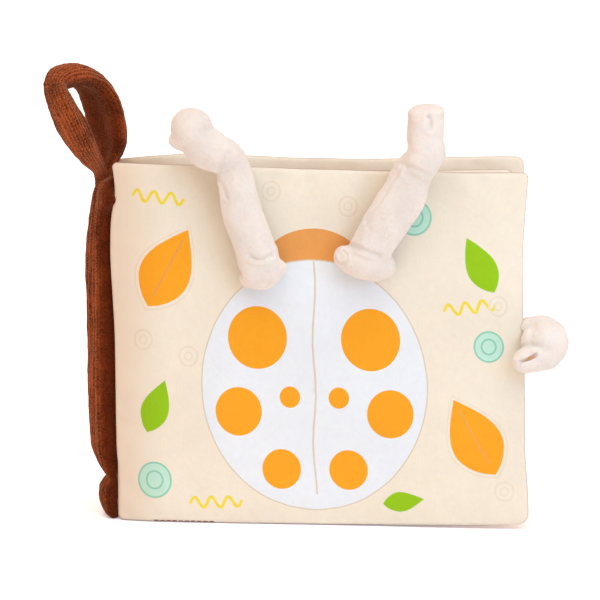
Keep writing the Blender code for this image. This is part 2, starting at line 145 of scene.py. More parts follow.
# Points of a panel: rows inside its rim, then a grid, and how near they come to a drawn line
RIM_INSETS = (0.12, 0.35, 0.7, 1.15, 1.8)
RIM_SPACING = 1.5
RIM_BAND = 2.2
RIM_CLEARANCE = 0.1
# Painted shade: faces whose middle lies this close to the rim take a darker warm colour
RIM_SHADE_DEPTH = 0.15
GRID_INSET = 2.5
GRID_CLEARANCE_SHARE = 0.45
ROW_RISE = 0.866
FINE_SPACING = 2.2
PLAIN_SPACING = 3.0
BATCH = 2000
# A leaf's unevenness: how far it moves the cloth, how long its waves are, its seed's step
DIMPLES = (0.12, 9, 0)
PUCKERS = (0.3, 6, 60)
EDGE_WAVES = (0.22, 16, 20)
SWAY = (0.7, 60, 40)
PUCKER_REACH = 8
SWAY_REACH = 40
BEND = 1.3
BEND_REACH = 16
# Noise: the steps between seeds, and the depth, width and waves of the nap's thin creases
WRINKLE_STEP = np.array((7.3, 3.1, 5.7))
CRUMPLE_STEP = np.array((4.1, 9.7, 2.3))
CRUMPLE_DEPTH = 0.28
CRUMPLE_WIDTH = 0.13
CRUMPLE_WAVES = (12, 12, 14)
# Layers of wrinkles: amplitude, waves along the three axes and seed
FILM_WRINKLES = [(0.05, (6, 6, 6), 2)]
WADDING_WRINKLES = [(0.12, (9, 9, 9), 1)]
TAPE_WRINKLES = [(0.1, (6, 6, 6), 3)]
SPINE_WRINKLES = [(0.28, (3.2, 3.2, 6), 4), (0.12, (1.1, 1.1, 2.2), 5)]
LOOP_WRINKLES = [(0.22, (2.6, 2.6, 2.6), 6), (0.12, (1.0, 1.0, 1.0), 7)]
FILLING_SHARE = 0.8
# Painted shade on the cloth near the spine, from and to this far from the spine, and the plush's
# knit
GUTTER_SHADE = (3 * MM, 22 * MM)
PLUSH_RIB = 1.7 * MM
PLUSH_STITCH = 1.1 * MM


def srgb(red, green, blue):
    """A colour of the screen, 0 to 255, as the linear values that shaders take."""
    values = [value / 255 for value in (red, green, blue)]
    return [value / 12.92 if value <= 0.04045 else ((value + 0.055) / 1.055) ** 2.4
            for value in values]


CREAM = srgb(240, 221, 200)
PALE = srgb(233, 231, 232)
ORANGE = srgb(251, 158, 32)
CARAMEL = srgb(231, 152, 82)
OUTLINE = srgb(218, 196, 172)
GREEN = srgb(143, 190, 20)
YELLOW = srgb(243, 209, 52)
MINT = srgb(186, 224, 203)
TEAL = srgb(140, 198, 172)
RIM_SHADE_TONE = srgb(206, 158, 132)
# Painted shade along each panel's rim
SAND = srgb(235, 212, 190)
BROWN = srgb(134, 64, 31)
VELOUR = srgb(221, 216, 209)
PALE_THREAD = srgb(236, 222, 204)
DARK_THREAD = srgb(112, 52, 38)
# Painted shadow inside the tail's open end
ROLL_SHADOW = srgb(205, 146, 100)


# Places
def leaf_matrix(name):
    """The place of a leaf's hinge line, turned as the leaf stands."""
    leaf = LEAVES[name]
    place = Vector((*leaf["hinge"], 0)) * MM
    return Matrix.Translation(place) @ Matrix.Rotation(math.radians(leaf["yaw"]), 4, "Z")


COVER = leaf_matrix("front_cover")
COVER_OUT = (COVER.to_3x3() @ Vector((0, -1, 0))).normalized()


def on_cover(px, py, out):
    """The place seen at a pixel, out millimetres in front of the front cover's middle."""
    half = FRAME_PIXELS / 2
    scale = SENSOR / LENS / FRAME_PIXELS
    ray = AHEAD + Vector((1, 0, 0)) * (px - half) * scale + UPWARD * (half - py) * scale
    point = COVER.translation + COVER_OUT * out * MM
    return EYE + ray * ((point - EYE).dot(COVER_OUT) / ray.dot(COVER_OUT))


def within(values):
    return np.clip(values, 0, 1)


def ahead_at(path, k):
    """The way a path runs at its point k, from the points on both sides of it."""
    return path[min(k + 1, len(path) - 1)] - path[max(k - 1, 0)]


# Meshes
def add_object(name, data, materials=()):
    for material in materials:
        data.materials.append(material)
    made = bpy.data.objects.new(name, data)
    bpy.context.scene.collection.objects.link(made)
    return made


def mesh_from(name, points, faces):
    mesh = bpy.data.meshes.new(name)
    mesh.from_pydata([tuple(point) for point in points], [], [tuple(face) for face in faces])
    mesh.validate()
    mesh.shade_smooth()
    return mesh


def mesh_of(bm, name):
    """A new mesh of what was built, which is then let go."""
    mesh = bpy.data.meshes.new(name)
    bm.to_mesh(mesh)
    bm.free()
    return mesh


def dress(piece, node_name, body=None):
    """Puts a piece in the place of a solid, whose part it hides, and on a body when one is given.
    """
    if body:
        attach(piece, body)
    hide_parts(node_name)


def smooth_rows(rows, steps):
    """Rows of numbers with a smooth curve between each two of them."""
    rows = [np.array(row, float) for row in rows]
    ends = [rows[0], *rows, rows[-1]]
    made = []
    for k in range(1, len(ends) - 2):
        a, b, c, d = ends[k - 1:k + 3]
        for step in range(steps):
            t = step / steps
            made.append((2 * b + (c - a) * t + (2 * a - 5 * b + 4 * c - d) * t ** 2
                         + (3 * b - a - 3 * c + d) * t ** 3) / 2)
    made.append(rows[-1])
    return np.array(made)


def evaluated(obj, name):
    """A new mesh of an object as its modifiers leave it."""
    bpy.context.view_layer.update()
    seen = obj.evaluated_get(bpy.context.evaluated_depsgraph_get())
    mesh = bpy.data.meshes.new_from_object(seen)
    mesh.name = name
    return mesh


def vectors(items, key):
    values = np.zeros(len(items) * 3)
    items.foreach_get(key, values)
    return values.reshape(-1, 3)


def coordinates(mesh):
    return vectors(mesh.vertices, "co")


def normals(mesh):
    return vectors(mesh.vertex_normals, "vector")


def set_coordinates(mesh, values):
    mesh.vertices.foreach_set("co", np.asarray(values, np.float32).ravel())
    mesh.update()


def noise_at(points, waves, offset):
    """Noise at points, its waves as long in millimetres as given for each axis."""
    return np.array([noise.noise(Vector(point / waves) / MM + offset) for point in points])


def wrinkle(mesh, layers):
    """Moves points along their normals by layers of noise: amplitude, waves and seed."""
    points, out = coordinates(mesh), normals(mesh)
    shift = sum(amplitude * MM * noise_at(points, waves, Vector(seed * WRINKLE_STEP))
                for amplitude, waves, seed in layers)
    set_coordinates(mesh, points + out * shift[:, None])


def crumple(mesh, seed):
    """Sinks thin creases into a mesh where a noise crosses zero."""
    points, out = coordinates(mesh), normals(mesh)
    field = noise_at(points, CRUMPLE_WAVES, Vector(seed * CRUMPLE_STEP))
    shift = -CRUMPLE_DEPTH * MM * np.exp(-(field / CRUMPLE_WIDTH) ** 2)
    set_coordinates(mesh, points + out * shift[:, None])


def circle(centre, right, up, flatness, radius, sides):
    turns = [2 * math.pi * side / sides for side in range(sides)]
    return [centre + (right * math.cos(turn) + up * math.sin(turn) * flatness) * radius
            for turn in turns]


def add_tube(bm, loops):
    """A closed tube through loops of points."""
    rings = [[bm.verts.new(point) for point in loop] for loop in loops]
    for low, high in zip(rings, rings[1:]):
        for k in range(len(low)):
            bm.faces.new((low[k - 1], low[k], high[k], high[k - 1]))
    bm.faces.new(rings[0])
    bm.faces.new(rings[-1][::-1])


def refined(node_name, name, cuts):
    """A solid's mesh with its edges cut, so that it can crease."""
    bm = bmesh.new()
    bm.from_mesh(frame["nodes"][node_name].data)
    bmesh.ops.remove_doubles(bm, verts=bm.verts, dist=1e-6)
    bmesh.ops.subdivide_edges(bm, edges=bm.edges, cuts=cuts, use_grid_fill=True)
    return mesh_of(bm, name)


# Materials
def node(tree, kind, **values):
    """A shader node with its settings and its unlinked inputs."""
    made = tree.nodes.new("ShaderNode" + kind)
    for name, value in values.items():
        if hasattr(made, name):
            setattr(made, name, value)
        else:
            made.inputs[name.replace("_", " ")].default_value = value
    return made


def set_inputs(shader, values):
    for name, value in values.items():
        shader.inputs[name].default_value = value


def tinted(colour, *factors):
    """A colour times one factor, or times one for each channel."""
    factors = factors * 3 if len(factors) == 1 else factors
    return (*[min(value * factor, 1) for value, factor in zip(colour, factors)], 1)


class Shade:
    """A fabric's shader: a colour that varies, sheen, and a height for its bump."""

    def __init__(self, name, roughness, sheen, sheen_tint, gloss=0.2):
        self.material = bpy.data.materials.new(name)
        self.material.use_nodes = True
        self.tree = self.material.node_tree
        self.shader = self.tree.nodes["Principled BSDF"]
        set_inputs(self.shader, {
            "Roughness": roughness, "Specular IOR Level": gloss, "Sheen Weight": sheen,
            "Sheen Roughness": 0.35, "Sheen Tint": (*sheen_tint, 1)})
        self.place = node(self.tree, "TexCoord").outputs["Object"]

    def put(self, value, socket):
        """Sets a socket to a plain value, or links an output to it."""
        if isinstance(value, (int, float, tuple)):
            socket.default_value = value
        else:
            self.tree.links.new(value, socket)

    def fed(self, kind, source, **values):
        """The outputs of a new node whose first input is a source."""
        made = node(self.tree, kind, **values)
        self.put(source, made.inputs[0])
        return made.outputs

    def scaled(self, source, scale):
        return self.fed("Mapping", source, Scale=scale)[0]

    def noise(self, source, scale, detail=2.0, rough=0.5):
        return self.fed("TexNoise", source, Scale=scale, Detail=detail, Roughness=rough)["Fac"]

    def spread(self, value, low, high, to_low=0.0, to_high=1.0):
        return self.fed("MapRange", value, From_Min=low, From_Max=high, To_Min=to_low,
                        To_Max=to_high)[0]

    def math(self, kind, *values):
        made = node(self.tree, "Math", operation=kind)
        for value, socket in zip(values, made.inputs):
            self.put(value, socket)
        return made.outputs[0]

    def total(self, *parts):
        """The sum of outputs, each times its weight."""
        terms = [self.math("MULTIPLY", source, weight) for source, weight in parts]
        made = terms[0]
        for term in terms[1:]:
            made = self.math("ADD", made, term)
        return made

    def mix(self, share, a, b):
        made = node(self.tree, "Mix", data_type="RGBA")
        for slot, value in ((0, share), (6, a), (7, b)):
            self.put(value, made.inputs[slot])
        return made.outputs[2]

    def soft(self, weight):
        """Lets light a little way into the cloth, which warms its shadows."""
        set_inputs(self.shader, {"Subsurface Weight": weight, "Subsurface Scale": 0.005,
                                 "Subsurface Radius": (1, 0.45, 0.25)})

    def finish(self, colour, height, distance, strength=1.0):
        bump = node(self.tree, "Bump", Strength=strength, Distance=distance)
        self.put(height, bump.inputs["Height"])
        self.put(bump.outputs[0], self.shader.inputs["Normal"])
        self.put(colour, self.shader.inputs["Base Color"])
        return self.material


def printed_cloth(name, colour):
    """Smooth short-napped cloth. The print's colour goes into the nap, so it varies with it.
    Towards the spine the cloth is a little darker and browner: painted shade."""
    s = Shade(name, 0.82, 0.18, (1, 0.97, 0.94))
    patches = s.noise(s.place, 34, 3)
    nap = s.noise(s.place, 420, 3, 0.6)
    fibre = s.noise(s.place, 2100, 2, 0.7)
    tone = s.spread(s.total((patches, 0.55), (nap, 0.3), (fibre, 0.25)), 0.36, 0.74)
    body = s.mix(tone, tinted(colour, 0.93), tinted(colour, 1.035))
    across = s.fed("SeparateXYZ", s.place)["X"]
    # Painted shade: the cloth is mixed towards a darker brown near the spine
    body = s.mix(s.spread(across, *GUTTER_SHADE, 1.0, 0.0), body, tinted(colour, 0.88, 0.79, 0.76))
    s.soft(0.35)
    return s.finish(body, s.total((fibre, 0.6), (nap, 0.9)), 0.18 * MM, 0.7)


def velour(name, colour):
    """Pale brushed velour with a dense pile that catches light at its edges."""
    s = Shade(name, 0.9, 0.45, (1, 0.96, 0.93))
    brushed = s.noise(s.scaled(s.place, (130, 130, 85)), 1.0, 3, 0.55)
    pile = s.noise(s.place, 950, 3, 0.65)
    fibre = s.noise(s.place, 2600, 2, 0.7)
    tone = s.spread(s.total((brushed, 0.6), (pile, 0.4)), 0.34, 0.66)
    body = s.mix(tone, tinted(colour, 0.9), tinted(colour, 1.02))
    blush = s.spread(s.noise(s.place, 48), 0.42, 0.72, 0.0, 0.16)
    body = s.mix(blush, body, tinted(colour, 0.97, 0.86, 0.82))
    s.soft(0.4)
    return s.finish(body, s.total((pile, 0.7), (fibre, 0.5), (brushed, 0.8)), 0.45 * MM, 0.9)


def plush(name, colour):
    """Brown knitted plush: ribs along the strip, each one a row of small slanted stitches.
    The strip attribute holds the place across and along it in metres, and a share of painted
    shade, where the knit fades and a darker brown is painted in."""
    s = Shade(name, 0.95, 0.36, (1, 0.6, 0.4), gloss=0.02)
    strip = node(s.tree, "Attribute", attribute_name="strip").outputs["Vector"]
    across, along, shade = s.fed("SeparateXYZ", strip)
    clear = s.math("SUBTRACT", 1.0, shade)
    drift = s.noise(s.scaled(strip, (110, 55, 0)), 1.0)
    wander = s.noise(s.scaled(strip, (500, 500, 0)), 1.0)
    ribs = s.math("SINE", s.total((across, 2 * math.pi / PLUSH_RIB), (drift, 9.0)))
    rows = s.total((along, 2 * math.pi / PLUSH_STITCH), (wander, 7.0), (ribs, 1.7))
    stitches = s.math("MULTIPLY", s.math("SINE", rows), clear)
    ribs = s.math("MULTIPLY", ribs, clear)
    fuzz = s.noise(s.place, 1300, 3, 0.7)
    patch = s.noise(s.place, 110, 3, 0.6)
    tone = s.total((ribs, 0.06), (stitches, 0.05), (fuzz, 0.6), (patch, 0.4))
    body = s.mix(s.spread(tone, 0.4, 0.61), tinted(colour, 0.36), tinted(colour, 1.85))
    # Painted shade: a deep brown is mixed in where the pile lies in shade
    painted_shade = s.math("MULTIPLY", shade, 0.8)
    body = s.mix(painted_shade, body, tinted(colour, 0.26, 0.15, 0.07))
    return s.finish(body, s.total((ribs, 0.16), (stitches, 0.1), (fuzz, 0.9)), 1 * MM)


def thread(name, colour):
    s = Shade(name, 0.6, 0.1, (1, 1, 1))
    ply = s.noise(s.place, 1800)
    body = s.mix(ply, tinted(colour, 0.85), tinted(colour, 1.05))
    return s.finish(body, ply, 0.1 * MM)


def filling(name):
    s = Shade(name, 0.95, 0.3, (1, 1, 1))
    tuft = s.noise(s.place, 260, 5, 0.7)
    body = s.mix(tuft, (0.78, 0.78, 0.76, 1), (0.93, 0.93, 0.92, 1))
    return s.finish(body, tuft, 1 * MM)


def film(name):
    s = Shade(name, 0.28, 0.0, (1, 1, 1), gloss=0.5)
    crease = s.noise(s.place, 160, 4, 0.6)
    body = s.mix(crease, (0.74, 0.77, 0.8, 1), (0.88, 0.9, 0.93, 1))
    return s.finish(body, crease, 0.8 * MM)


# Stage
def add_camera():
    data = bpy.data.cameras.new("camera")
    data.lens = LENS
    data.sensor_width = SENSOR
    data.clip_start = 0.05
    data.clip_end = 50
    camera = add_object("camera", data)
    camera.location = EYE
    camera.rotation_mode = "QUATERNION"
    camera.rotation_quaternion = AHEAD.to_track_quat("-Z", "Y")
    bpy.context.scene.camera = camera
    bpy.context.scene.view_settings.view_transform = "Standard"


def add_world():
    """Warm light from all round, which the camera itself sees as white."""
    world = bpy.data.worlds.new("studio")
    bpy.context.scene.world = world
    world.use_nodes = True
    tree = world.node_tree
    warm = tree.nodes["Background"]
    set_inputs(warm, {"Color": WORLD_COLOUR, "Strength": WORLD_STRENGTH})
    white = node(tree, "Background", Color=(1, 1, 1, 1), Strength=1.0)
    seen = node(tree, "LightPath").outputs["Is Camera Ray"]
    mix = node(tree, "MixShader")
    for slot, output in enumerate((seen, warm.outputs[0], white.outputs[0])):
        tree.links.new(output, mix.inputs[slot])
    tree.links.new(mix.outputs[0], tree.nodes["World Output"].inputs[0])


def add_light(name, kind, **settings):
    data = bpy.data.lights.new(name, kind)
    for key, value in settings.items():
        setattr(data, key, value)
    return add_object(name, data)


def add_lights():
    for name, (place, aim, side, power, colour) in LIGHTS.items():
        light = add_light(name, "AREA", size=side, energy=power, color=colour)
        light.location = place
        light.rotation_mode = "QUATERNION"
        light.rotation_quaternion = (Vector(aim) - Vector(place)).to_track_quat("-Z", "Y")
    add_light("overhead", "SUN", **OVERHEAD).rotation_euler.x = OVERHEAD_LEAN


def add_floor():
    """White paper. It glows a little for the camera alone, so its glow lights nothing."""
    bm = bmesh.new()
    bmesh.ops.create_grid(bm, x_segments=8, y_segments=8, size=FLOOR_HALF)
    paper = bpy.data.materials.new("floor_paper")
    paper.use_nodes = True
    tree = paper.node_tree
    shader = tree.nodes["Principled BSDF"]
    set_inputs(shader, PAPER)
    seen = node(tree, "LightPath").outputs["Is Camera Ray"]
    glow = node(tree, "Math", operation="MULTIPLY")
    glow.inputs[1].default_value = FLOOR_GLOW
    tree.links.new(seen, glow.inputs[0])
    tree.links.new(glow.outputs[0], shader.inputs["Emission Strength"])
    floor = add_object("floor", mesh_of(bm, "floor"), [paper])
    floor.location.z = -FLOOR_DROP


# Leaves
def outline(size, corners, inset, spacing):
    """Points round a rectangle, each corner with its own radius, drawn in by inset."""
    points = []
    for k, (radius, ways) in enumerate(zip(corners, ((-1, -1), (1, -1), (1, 1), (-1, 1)))):
        bend = max(radius - inset, 0.2)
        middle = Vector([(side / 2 - inset - bend) * way + side / 2
                         for side, way in zip(size, ways)])
        steps = max(3, math.ceil(bend * math.pi / spacing))
        for step in range(steps + 1):
            angle = math.pi * (1 + k / 2 + step / steps / 2)
            points.append(middle + Vector((math.cos(angle), math.sin(angle))) * bend)
    closed = []
    for start, end in zip(points, points[1:] + points[:1]):
        parts = max(1, math.ceil((end - start).length / spacing))
        closed += [start.lerp(end, part / parts) for part in range(parts)]
    return closed


def depth_inside(size, corners, places):
    """How far places lie inside the rounded rectangle."""
    u, v = places[:, 0], places[:, 1]
    low, left = v < size[1] / 2, u < size[0] / 2
    bend = np.where(low, np.where(left, corners[0], corners[1]),
                    np.where(left, corners[3], corners[2]))
    qx = np.abs(u - size[0] / 2) - size[0] / 2 + bend
    qy = np.abs(v - size[1] / 2) - size[1] / 2 + bend
    return bend - np.minimum(np.maximum(qx, qy), 0) - np.hypot(np.maximum(qx, 0),
                                                              np.maximum(qy, 0))


def printed_triangles(size, corners, shapes, spacing):
    """A flat panel cut into triangles along its print, and each triangle's colour."""
    points, edges = [], []

    def add_loop(loop):
        first = len(points)
        points.extend(loop)
        edges.extend((first + k, first + (k + 1) % len(loop)) for k in range(len(loop)))
    add_loop(outline(size, corners, 0, RIM_SPACING))
    for _, loops in shapes:
        for loop in loops:
            add_loop(loop)
    fixed = np.array([tuple(p) for p in points])
    rim = [tuple(p) for inset in RIM_INSETS for p in outline(size, corners, inset, RIM_SPACING)]
    rise = spacing * ROW_RISE
    grid = np.array([(spacing / 2 * (row % 2) + column * spacing, row * rise)
                     for row in range(int(size[1] / rise) + 1)
                     for column in range(int(size[0] / spacing) + 1)])
    free = np.vstack([rim, grid[depth_inside(size, corners, grid) > GRID_INSET]])
    keep = np.ones(len(free), bool)
    for start in range(0, len(free), BATCH):
        part = free[start:start + BATCH]
        gaps = np.min(np.hypot(part[:, None, 0] - fixed[None, :, 0],
                               part[:, None, 1] - fixed[None, :, 1]), axis=1)
        limit = np.where(depth_inside(size, corners, part) < RIM_BAND, RIM_CLEARANCE,
                         GRID_CLEARANCE_SHARE * spacing)
        keep[start:start + BATCH] = gaps > limit
    points += [Vector(p) for p in free[keep]]
    made = delaunay_2d_cdt(points, edges, [], 0, 1e-5)
    places = np.array([tuple(p) for p in made[0]])
    faces = np.array(made[2])
    a, b, c = places[faces[:, 0]], places[faces[:, 1]], places[faces[:, 2]]
    area = (b[:, 0] - a[:, 0]) * (c[:, 1] - a[:, 1]) - (c[:, 0] - a[:, 0]) * (b[:, 1] - a[:, 1])
    faces = np.where((area < 0)[:, None], faces[:, ::-1], faces)[np.abs(area) > 1e-7]
    middle = places[faces].mean(axis=1)
    colour = np.zeros(len(faces), int)
    for slot, loops in shapes:
        colour[inside_loops(middle, loops)] = slot
    return places, faces, colour


def blown_leaf(size, seed):
    """Two cloths sewn at their rim and blown up a little: how far each point moves."""
    nu, nv = (round(length / PUFF_CELL) for length in size)
    spots = [(i, j) for i in range(nu + 1) for j in range(nv + 1)]
    rim = [(i, j) for i, j in spots if i in (0, nu) or j in (0, nv)]
    random = np.random.default_rng(seed)
    index, points, faces = {}, [], []
    for side in (-1, 1):
        for i, j in spots:
            if side == 1 and (i, j) in rim:
                index[side, i, j] = index[-1, i, j]
                continue
            rise = (1 - (2 * i / nu - 1) ** 4) * (1 - (2 * j / nv - 1) ** 4)
            rise *= 1 + BLOW_SPREAD * random.standard_normal()
            index[side, i, j] = len(points)
            points.append((size[0] * i / nu * MM, side * rise * MM, size[1] * j / nv * MM))
        for i, j in spots:
            if i < nu and j < nv:
                corners = ((i, j), (i + 1, j), (i + 1, j + 1), (i, j + 1))
                faces.append([index[side, *corner] for corner in corners[::-side]])
    pillow = add_object("pillow", mesh_from("pillow", points, faces))
    pillow.vertex_groups.new(name="rim").add([index[-1, i, j] for i, j in rim], 1, "REPLACE")
    cloth = pillow.modifiers.new("Cloth", "CLOTH")
    for key, value in BLOW.items():
        setattr(cloth.settings, key, value)
    cloth.settings.effector_weights.gravity = 0
    cloth.collision_settings.use_self_collision = False
    for number in range(1, BLOW_FRAMES + 1):
        bpy.context.scene.frame_set(number)
    moved = coordinates(evaluated(pillow, "blown")) / MM
    bpy.data.objects.remove(pillow, do_unlink=True)
    grids = {}
    for side in (-1, 1):
        grid = moved[[index[side, i, j] for i, j in spots]].reshape(nu + 1, nv + 1, 3)
        puff = PUFF * np.tanh(np.abs(grid[:, :, 1]) / PUFF)
        slide_u = grid[:, :, 0] - size[0] * np.arange(nu + 1)[:, None] / nu
        slide_v = grid[:, :, 2] - size[1] * np.arange(nv + 1)[None, :] / nv
        grids[side] = np.stack([puff, slide_u, slide_v], axis=2)
    return grids


def sampled(grid, shares):
    """A grid's values at shares of its two sides, on a smooth surface."""
    nu, nv = grid.shape[0] - 1, grid.shape[1] - 1

    def weights(share, count):
        at = np.clip(share * count, 0, count - 1e-6)
        cell = np.floor(at).astype(int)
        t = at - cell
        w = np.stack([-t + 2 * t ** 2 - t ** 3, 2 - 5 * t ** 2 + 3 * t ** 3,
                      t + 4 * t ** 2 - 3 * t ** 3, t ** 3 - t ** 2], axis=1) / 2
        return np.clip(cell[:, None] + np.arange(-1, 3), 0, count), w
    iu, wu = weights(shares[:, 0], nu)
    iv, wv = weights(shares[:, 1], nv)
    values = np.zeros((len(shares), grid.shape[2]))
    for a in range(4):
        for b in range(4):
            values += grid[iu[:, a], iv[:, b]] * (wu[:, a] * wv[:, b])[:, None]
    return values


def uneven(places, kind, seed):
    """How far one kind of unevenness moves the cloth at places."""
    amplitude, waves, step = kind
    return amplitude * np.array([noise.noise(Vector((u / waves, v / waves, seed + step)))
                                 for u, v in places])


def leaf_points(name, side, places, grids, lift):
    """World places of a panel's flat places. lift is how thick the panel is there."""
    leaf = LEAVES[name]
    seed, size = leaf["seed"], leaf["size"]
    shares = places / np.array(size)
    depth = depth_inside(size, leaf["corners"], places)
    puff = sampled(grids[side], within(shares))
    fade = within(depth / RIM_FADE)
    thick = np.sqrt(within(1 - (1 - within(depth / EDGE_ROUND)) ** 2)) * leaf["edge"]
    thick += puff[:, 0] * (leaf["crown"] - leaf["edge"]) / PUFF
    thick += fade * uneven(places, DIMPLES, seed + side)
    thick += fade * np.exp(-(depth / PUCKER_REACH) ** 2) * uneven(places, PUCKERS, seed + side)
    height = SEAM_GAP + np.maximum(thick - lift * within(depth / FABRIC_FADE), 0)
    bows = leaf["draw_in"] * (1 - (2 * shares - 1) ** 2)
    u = places[:, 0] + puff[:, 1] * fade - shares[:, 0] * bows[:, 1]
    v = places[:, 1] + puff[:, 2] * fade - shares[:, 1] * bows[:, 0]
    edge_wave = uneven(places, EDGE_WAVES, seed)
    u += edge_wave * (2 * shares[:, 0] - 1) * (shares[:, 0] > 0.1)
    v += edge_wave * within(shares[:, 1] * 4) * (2 * shares[:, 1] - 1)
    if name in EDGES:
        def shift(edge, share):
            moved = smooth_rows(EDGES[name][edge], 5)
            return np.interp(share, moved[:, 0], moved[:, 1])
        u += shift("fore", shares[:, 1]) * within(shares[:, 0]) ** 2
        u += shift("hinge", shares[:, 1]) * within(1 - places[:, 0] / HINGE_REACH) ** 2
        v += shift("top", shares[:, 0]) * shares[:, 1]
        v += shift("foot", shares[:, 0]) * (1 - shares[:, 1]) ** 2
    local = [u - MARGIN, side * height + leaf_bend(name, places), v + leaf["foot"]]
    matrix = np.array(leaf_matrix(name))
    return np.stack(local, axis=1) * MM @ matrix[:3, :3].T + matrix[:3, 3]


def leaf_bend(name, places):
    """How far a leaf's middle leaves its plane, in millimetres towards the back."""
    leaf = LEAVES[name]
    near = within(1 - places[:, 0] / BEND_REACH)
    sway = uneven(places, SWAY, leaf["seed"]) * within(places[:, 0] / SWAY_REACH)
    return leaf["toward"] * BEND * near ** 2 * (3 - 2 * near) + sway


def add_panel(name, leaf_name, side, shapes, materials, grids):
    """One cloth face of a leaf, as thin closed cloth with its print in its mesh."""
    size, corners = LEAVES[leaf_name]["size"], LEAVES[leaf_name]["corners"]
    spacing = FINE_SPACING if leaf_name == "front_cover" else PLAIN_SPACING
    places, faces, colour = printed_triangles(size, corners, shapes, spacing)
    centre = np.array(size) / 2
    depth = depth_inside(size, corners, places)
    pulled = places + (centre - places) * (PANEL_PULL / centre) \
        * within(1 - depth / RIM_FADE)[:, None]
    outer = leaf_points(leaf_name, side, places, grids, 0)
    inner = leaf_points(leaf_name, side, pulled, grids, FABRIC)
    count = len(places)
    outward = faces if side == -1 else faces[:, ::-1]
    rim = [k for k in range(count) if depth[k] < 1e-3]
    rim.sort(key=lambda k: math.atan2(places[k][1] - centre[1], places[k][0] - centre[0]))
    strip = [(a, b, b + count, a + count)[::side] for a, b in zip(rim, rim[1:] + rim[:1])]
    all_faces = [*outward, *(outward[:, ::-1] + count), *strip]
    mesh = mesh_from(name, np.vstack([outer, inner]), all_faces)
    # Painted shade: the rim faces and the rim strip take the darker warm rim colour
    colour[(depth[faces].mean(axis=1) < RIM_SHADE_DEPTH) & (colour == BASE)] = RIM_SHADE
    panel = add_object(name, mesh, materials)
    slots = [*colour, *[BASE] * len(colour), *[RIM_SHADE] * len(strip)]
    mesh.polygons.foreach_set("material_index", slots)
    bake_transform(panel)
    return panel


# Prints
CLOTH_COLOURS = [CREAM, PALE, ORANGE, CARAMEL, OUTLINE, GREEN, YELLOW, MINT, TEAL, SAND, RIM_SHADE_TONE]
BASE, WHITE, AMBER, TAN, LINE, LEAF, SUN, ICE, SEA, DUNE, RIM_SHADE = range(11)
# The front print, in millimetres from the cover's lower corner at the spine: places, then
# sizes or a tilt
BEETLE = (79, 55.5, 43.6, 49)
BEETLE_RIM = 0.5
HEAD = (79, 101, 20, 16)
NECK = 104
MIDLINE_SWAY = 0.6
MIDLINE_STEP = 6.5
LINE_WIDTH = 0.7
SPOTS = ((57, 74, 11.5), (101, 74, 11.5), (49.5, 45, 9), (108.5, 45, 9),
         (66, 22.5, 7.5), (92, 22.5, 7.5), (69.5, 51, 4), (88.5, 51, 4))
AMBER_LEAVES = ((22, 100, 34, 20, 62), (141, 36, 34, 20, 118))
AMBER_RIM = ((4, 3.4), (2.6, 2.2))
GREEN_LEAVES = ((144, 104, 24, 12, 118), (17, 46, 22, 11, 70), (113, 10, 16, 8, 8))
TARGETS = ((16, 17, 6.5), (147, 72, 5.6), (118, 122, 6.2))
WAVES = ((8, 128, -4), (30, 8, 4), (130, 86, 8))
WAVE_FORM = dict(length=20, height=4.4, waves=3, width=1.1)
FAINT_RINGS = ((12, 72), (30, 66), (151, 88), (152, 14), (62, 131), (92, 126))
FAINT_SIZES = ((3.6, 3.8, 0.8), (1.5, 1.6, 0.7))
STRETCH = 1.06
# The scattered prints: rows and columns, how far a drawing strays, and the drawings' sizes
SCATTER_ROWS, SCATTER_COLUMNS = 4, 5
SCATTER_SPREAD = 0.12
DOT = (4.5, 4.5)
SMALL_RING = (5, 5, 1.2)
SMALL_LEAF = (13, 6)
# Each panel: its face and side, and the seed and colours of a scattered print
PANELS = {
    "front_cover": (("outer", -1, None, ()), ("inner", 1, 1, (SUN, ICE, LEAF))),
    "leaf_2": (("front", -1, 5, (ICE, SUN, TAN)), ("back", 1, 6, (LEAF, AMBER, ICE))),
    "leaf_3": (("front", -1, 7, (ICE, SUN, TAN)), ("back", 1, 8, (LEAF, AMBER, ICE))),
    "back_cover": (("inner", -1, 2, (DUNE, ICE, AMBER)),
                   ("outer", 1, 3, (LEAF, DUNE, SUN, ICE))),
}


def placed(u, v, tilt, path):
    """A drawing's points, turned by its tilt and moved to its place."""
    c, s = math.cos(math.radians(tilt)), math.sin(math.radians(tilt))
    return [Vector((u + x * c - y * s, v + x * s + y * c)) for x, y in path]


def ellipse(u, v, across, up):
    steps = max(12, int(2 * math.pi * max(across, up) / 1.3))
    turns = [math.radians(360 * k / steps) for k in range(steps)]
    return [Vector((u + across * math.cos(turn), v + up * math.sin(turn))) for turn in turns]


def ring(u, v, across, up, width):
    return [ellipse(u, v, across + grow, up + grow) for grow in (width / 2, -width / 2)]


def stroke(path, width):
    """The outline of a drawn line with round ends."""
    left, right = [], []
    for k, point in enumerate(path):
        ahead = ahead_at(path, k).normalized()
        side = Vector((-ahead.y, ahead.x)) * width / 2
        left.append(point + side)
        right.append(point - side)

    def cap(middle, toward):
        across = Vector((-toward.y, toward.x))
        return [middle + (toward * math.sin(a) + across * math.cos(a)) * width / 2
                for a in (math.pi / 4, math.pi / 2, math.pi * 3 / 4)]
    finish = (path[-1] - path[-2]).normalized()
    begin = (path[0] - path[1]).normalized()
    return left + cap(path[-1], finish) + right[::-1] + cap(path[0], begin)


def leaf_shape(u, v, length, width, tilt):
    """A plant's leaf: two arcs that meet in a point at each end."""
    shares = [k / 14 for k in range(14)]
    arcs = [(share, 1) for share in shares] + [(1 - share, -1) for share in shares]
    return placed(u, v, tilt, [
        ((share - 0.5) * length, side * width / 2 * math.sin(math.pi * share ** 0.8))
        for share, side in arcs])


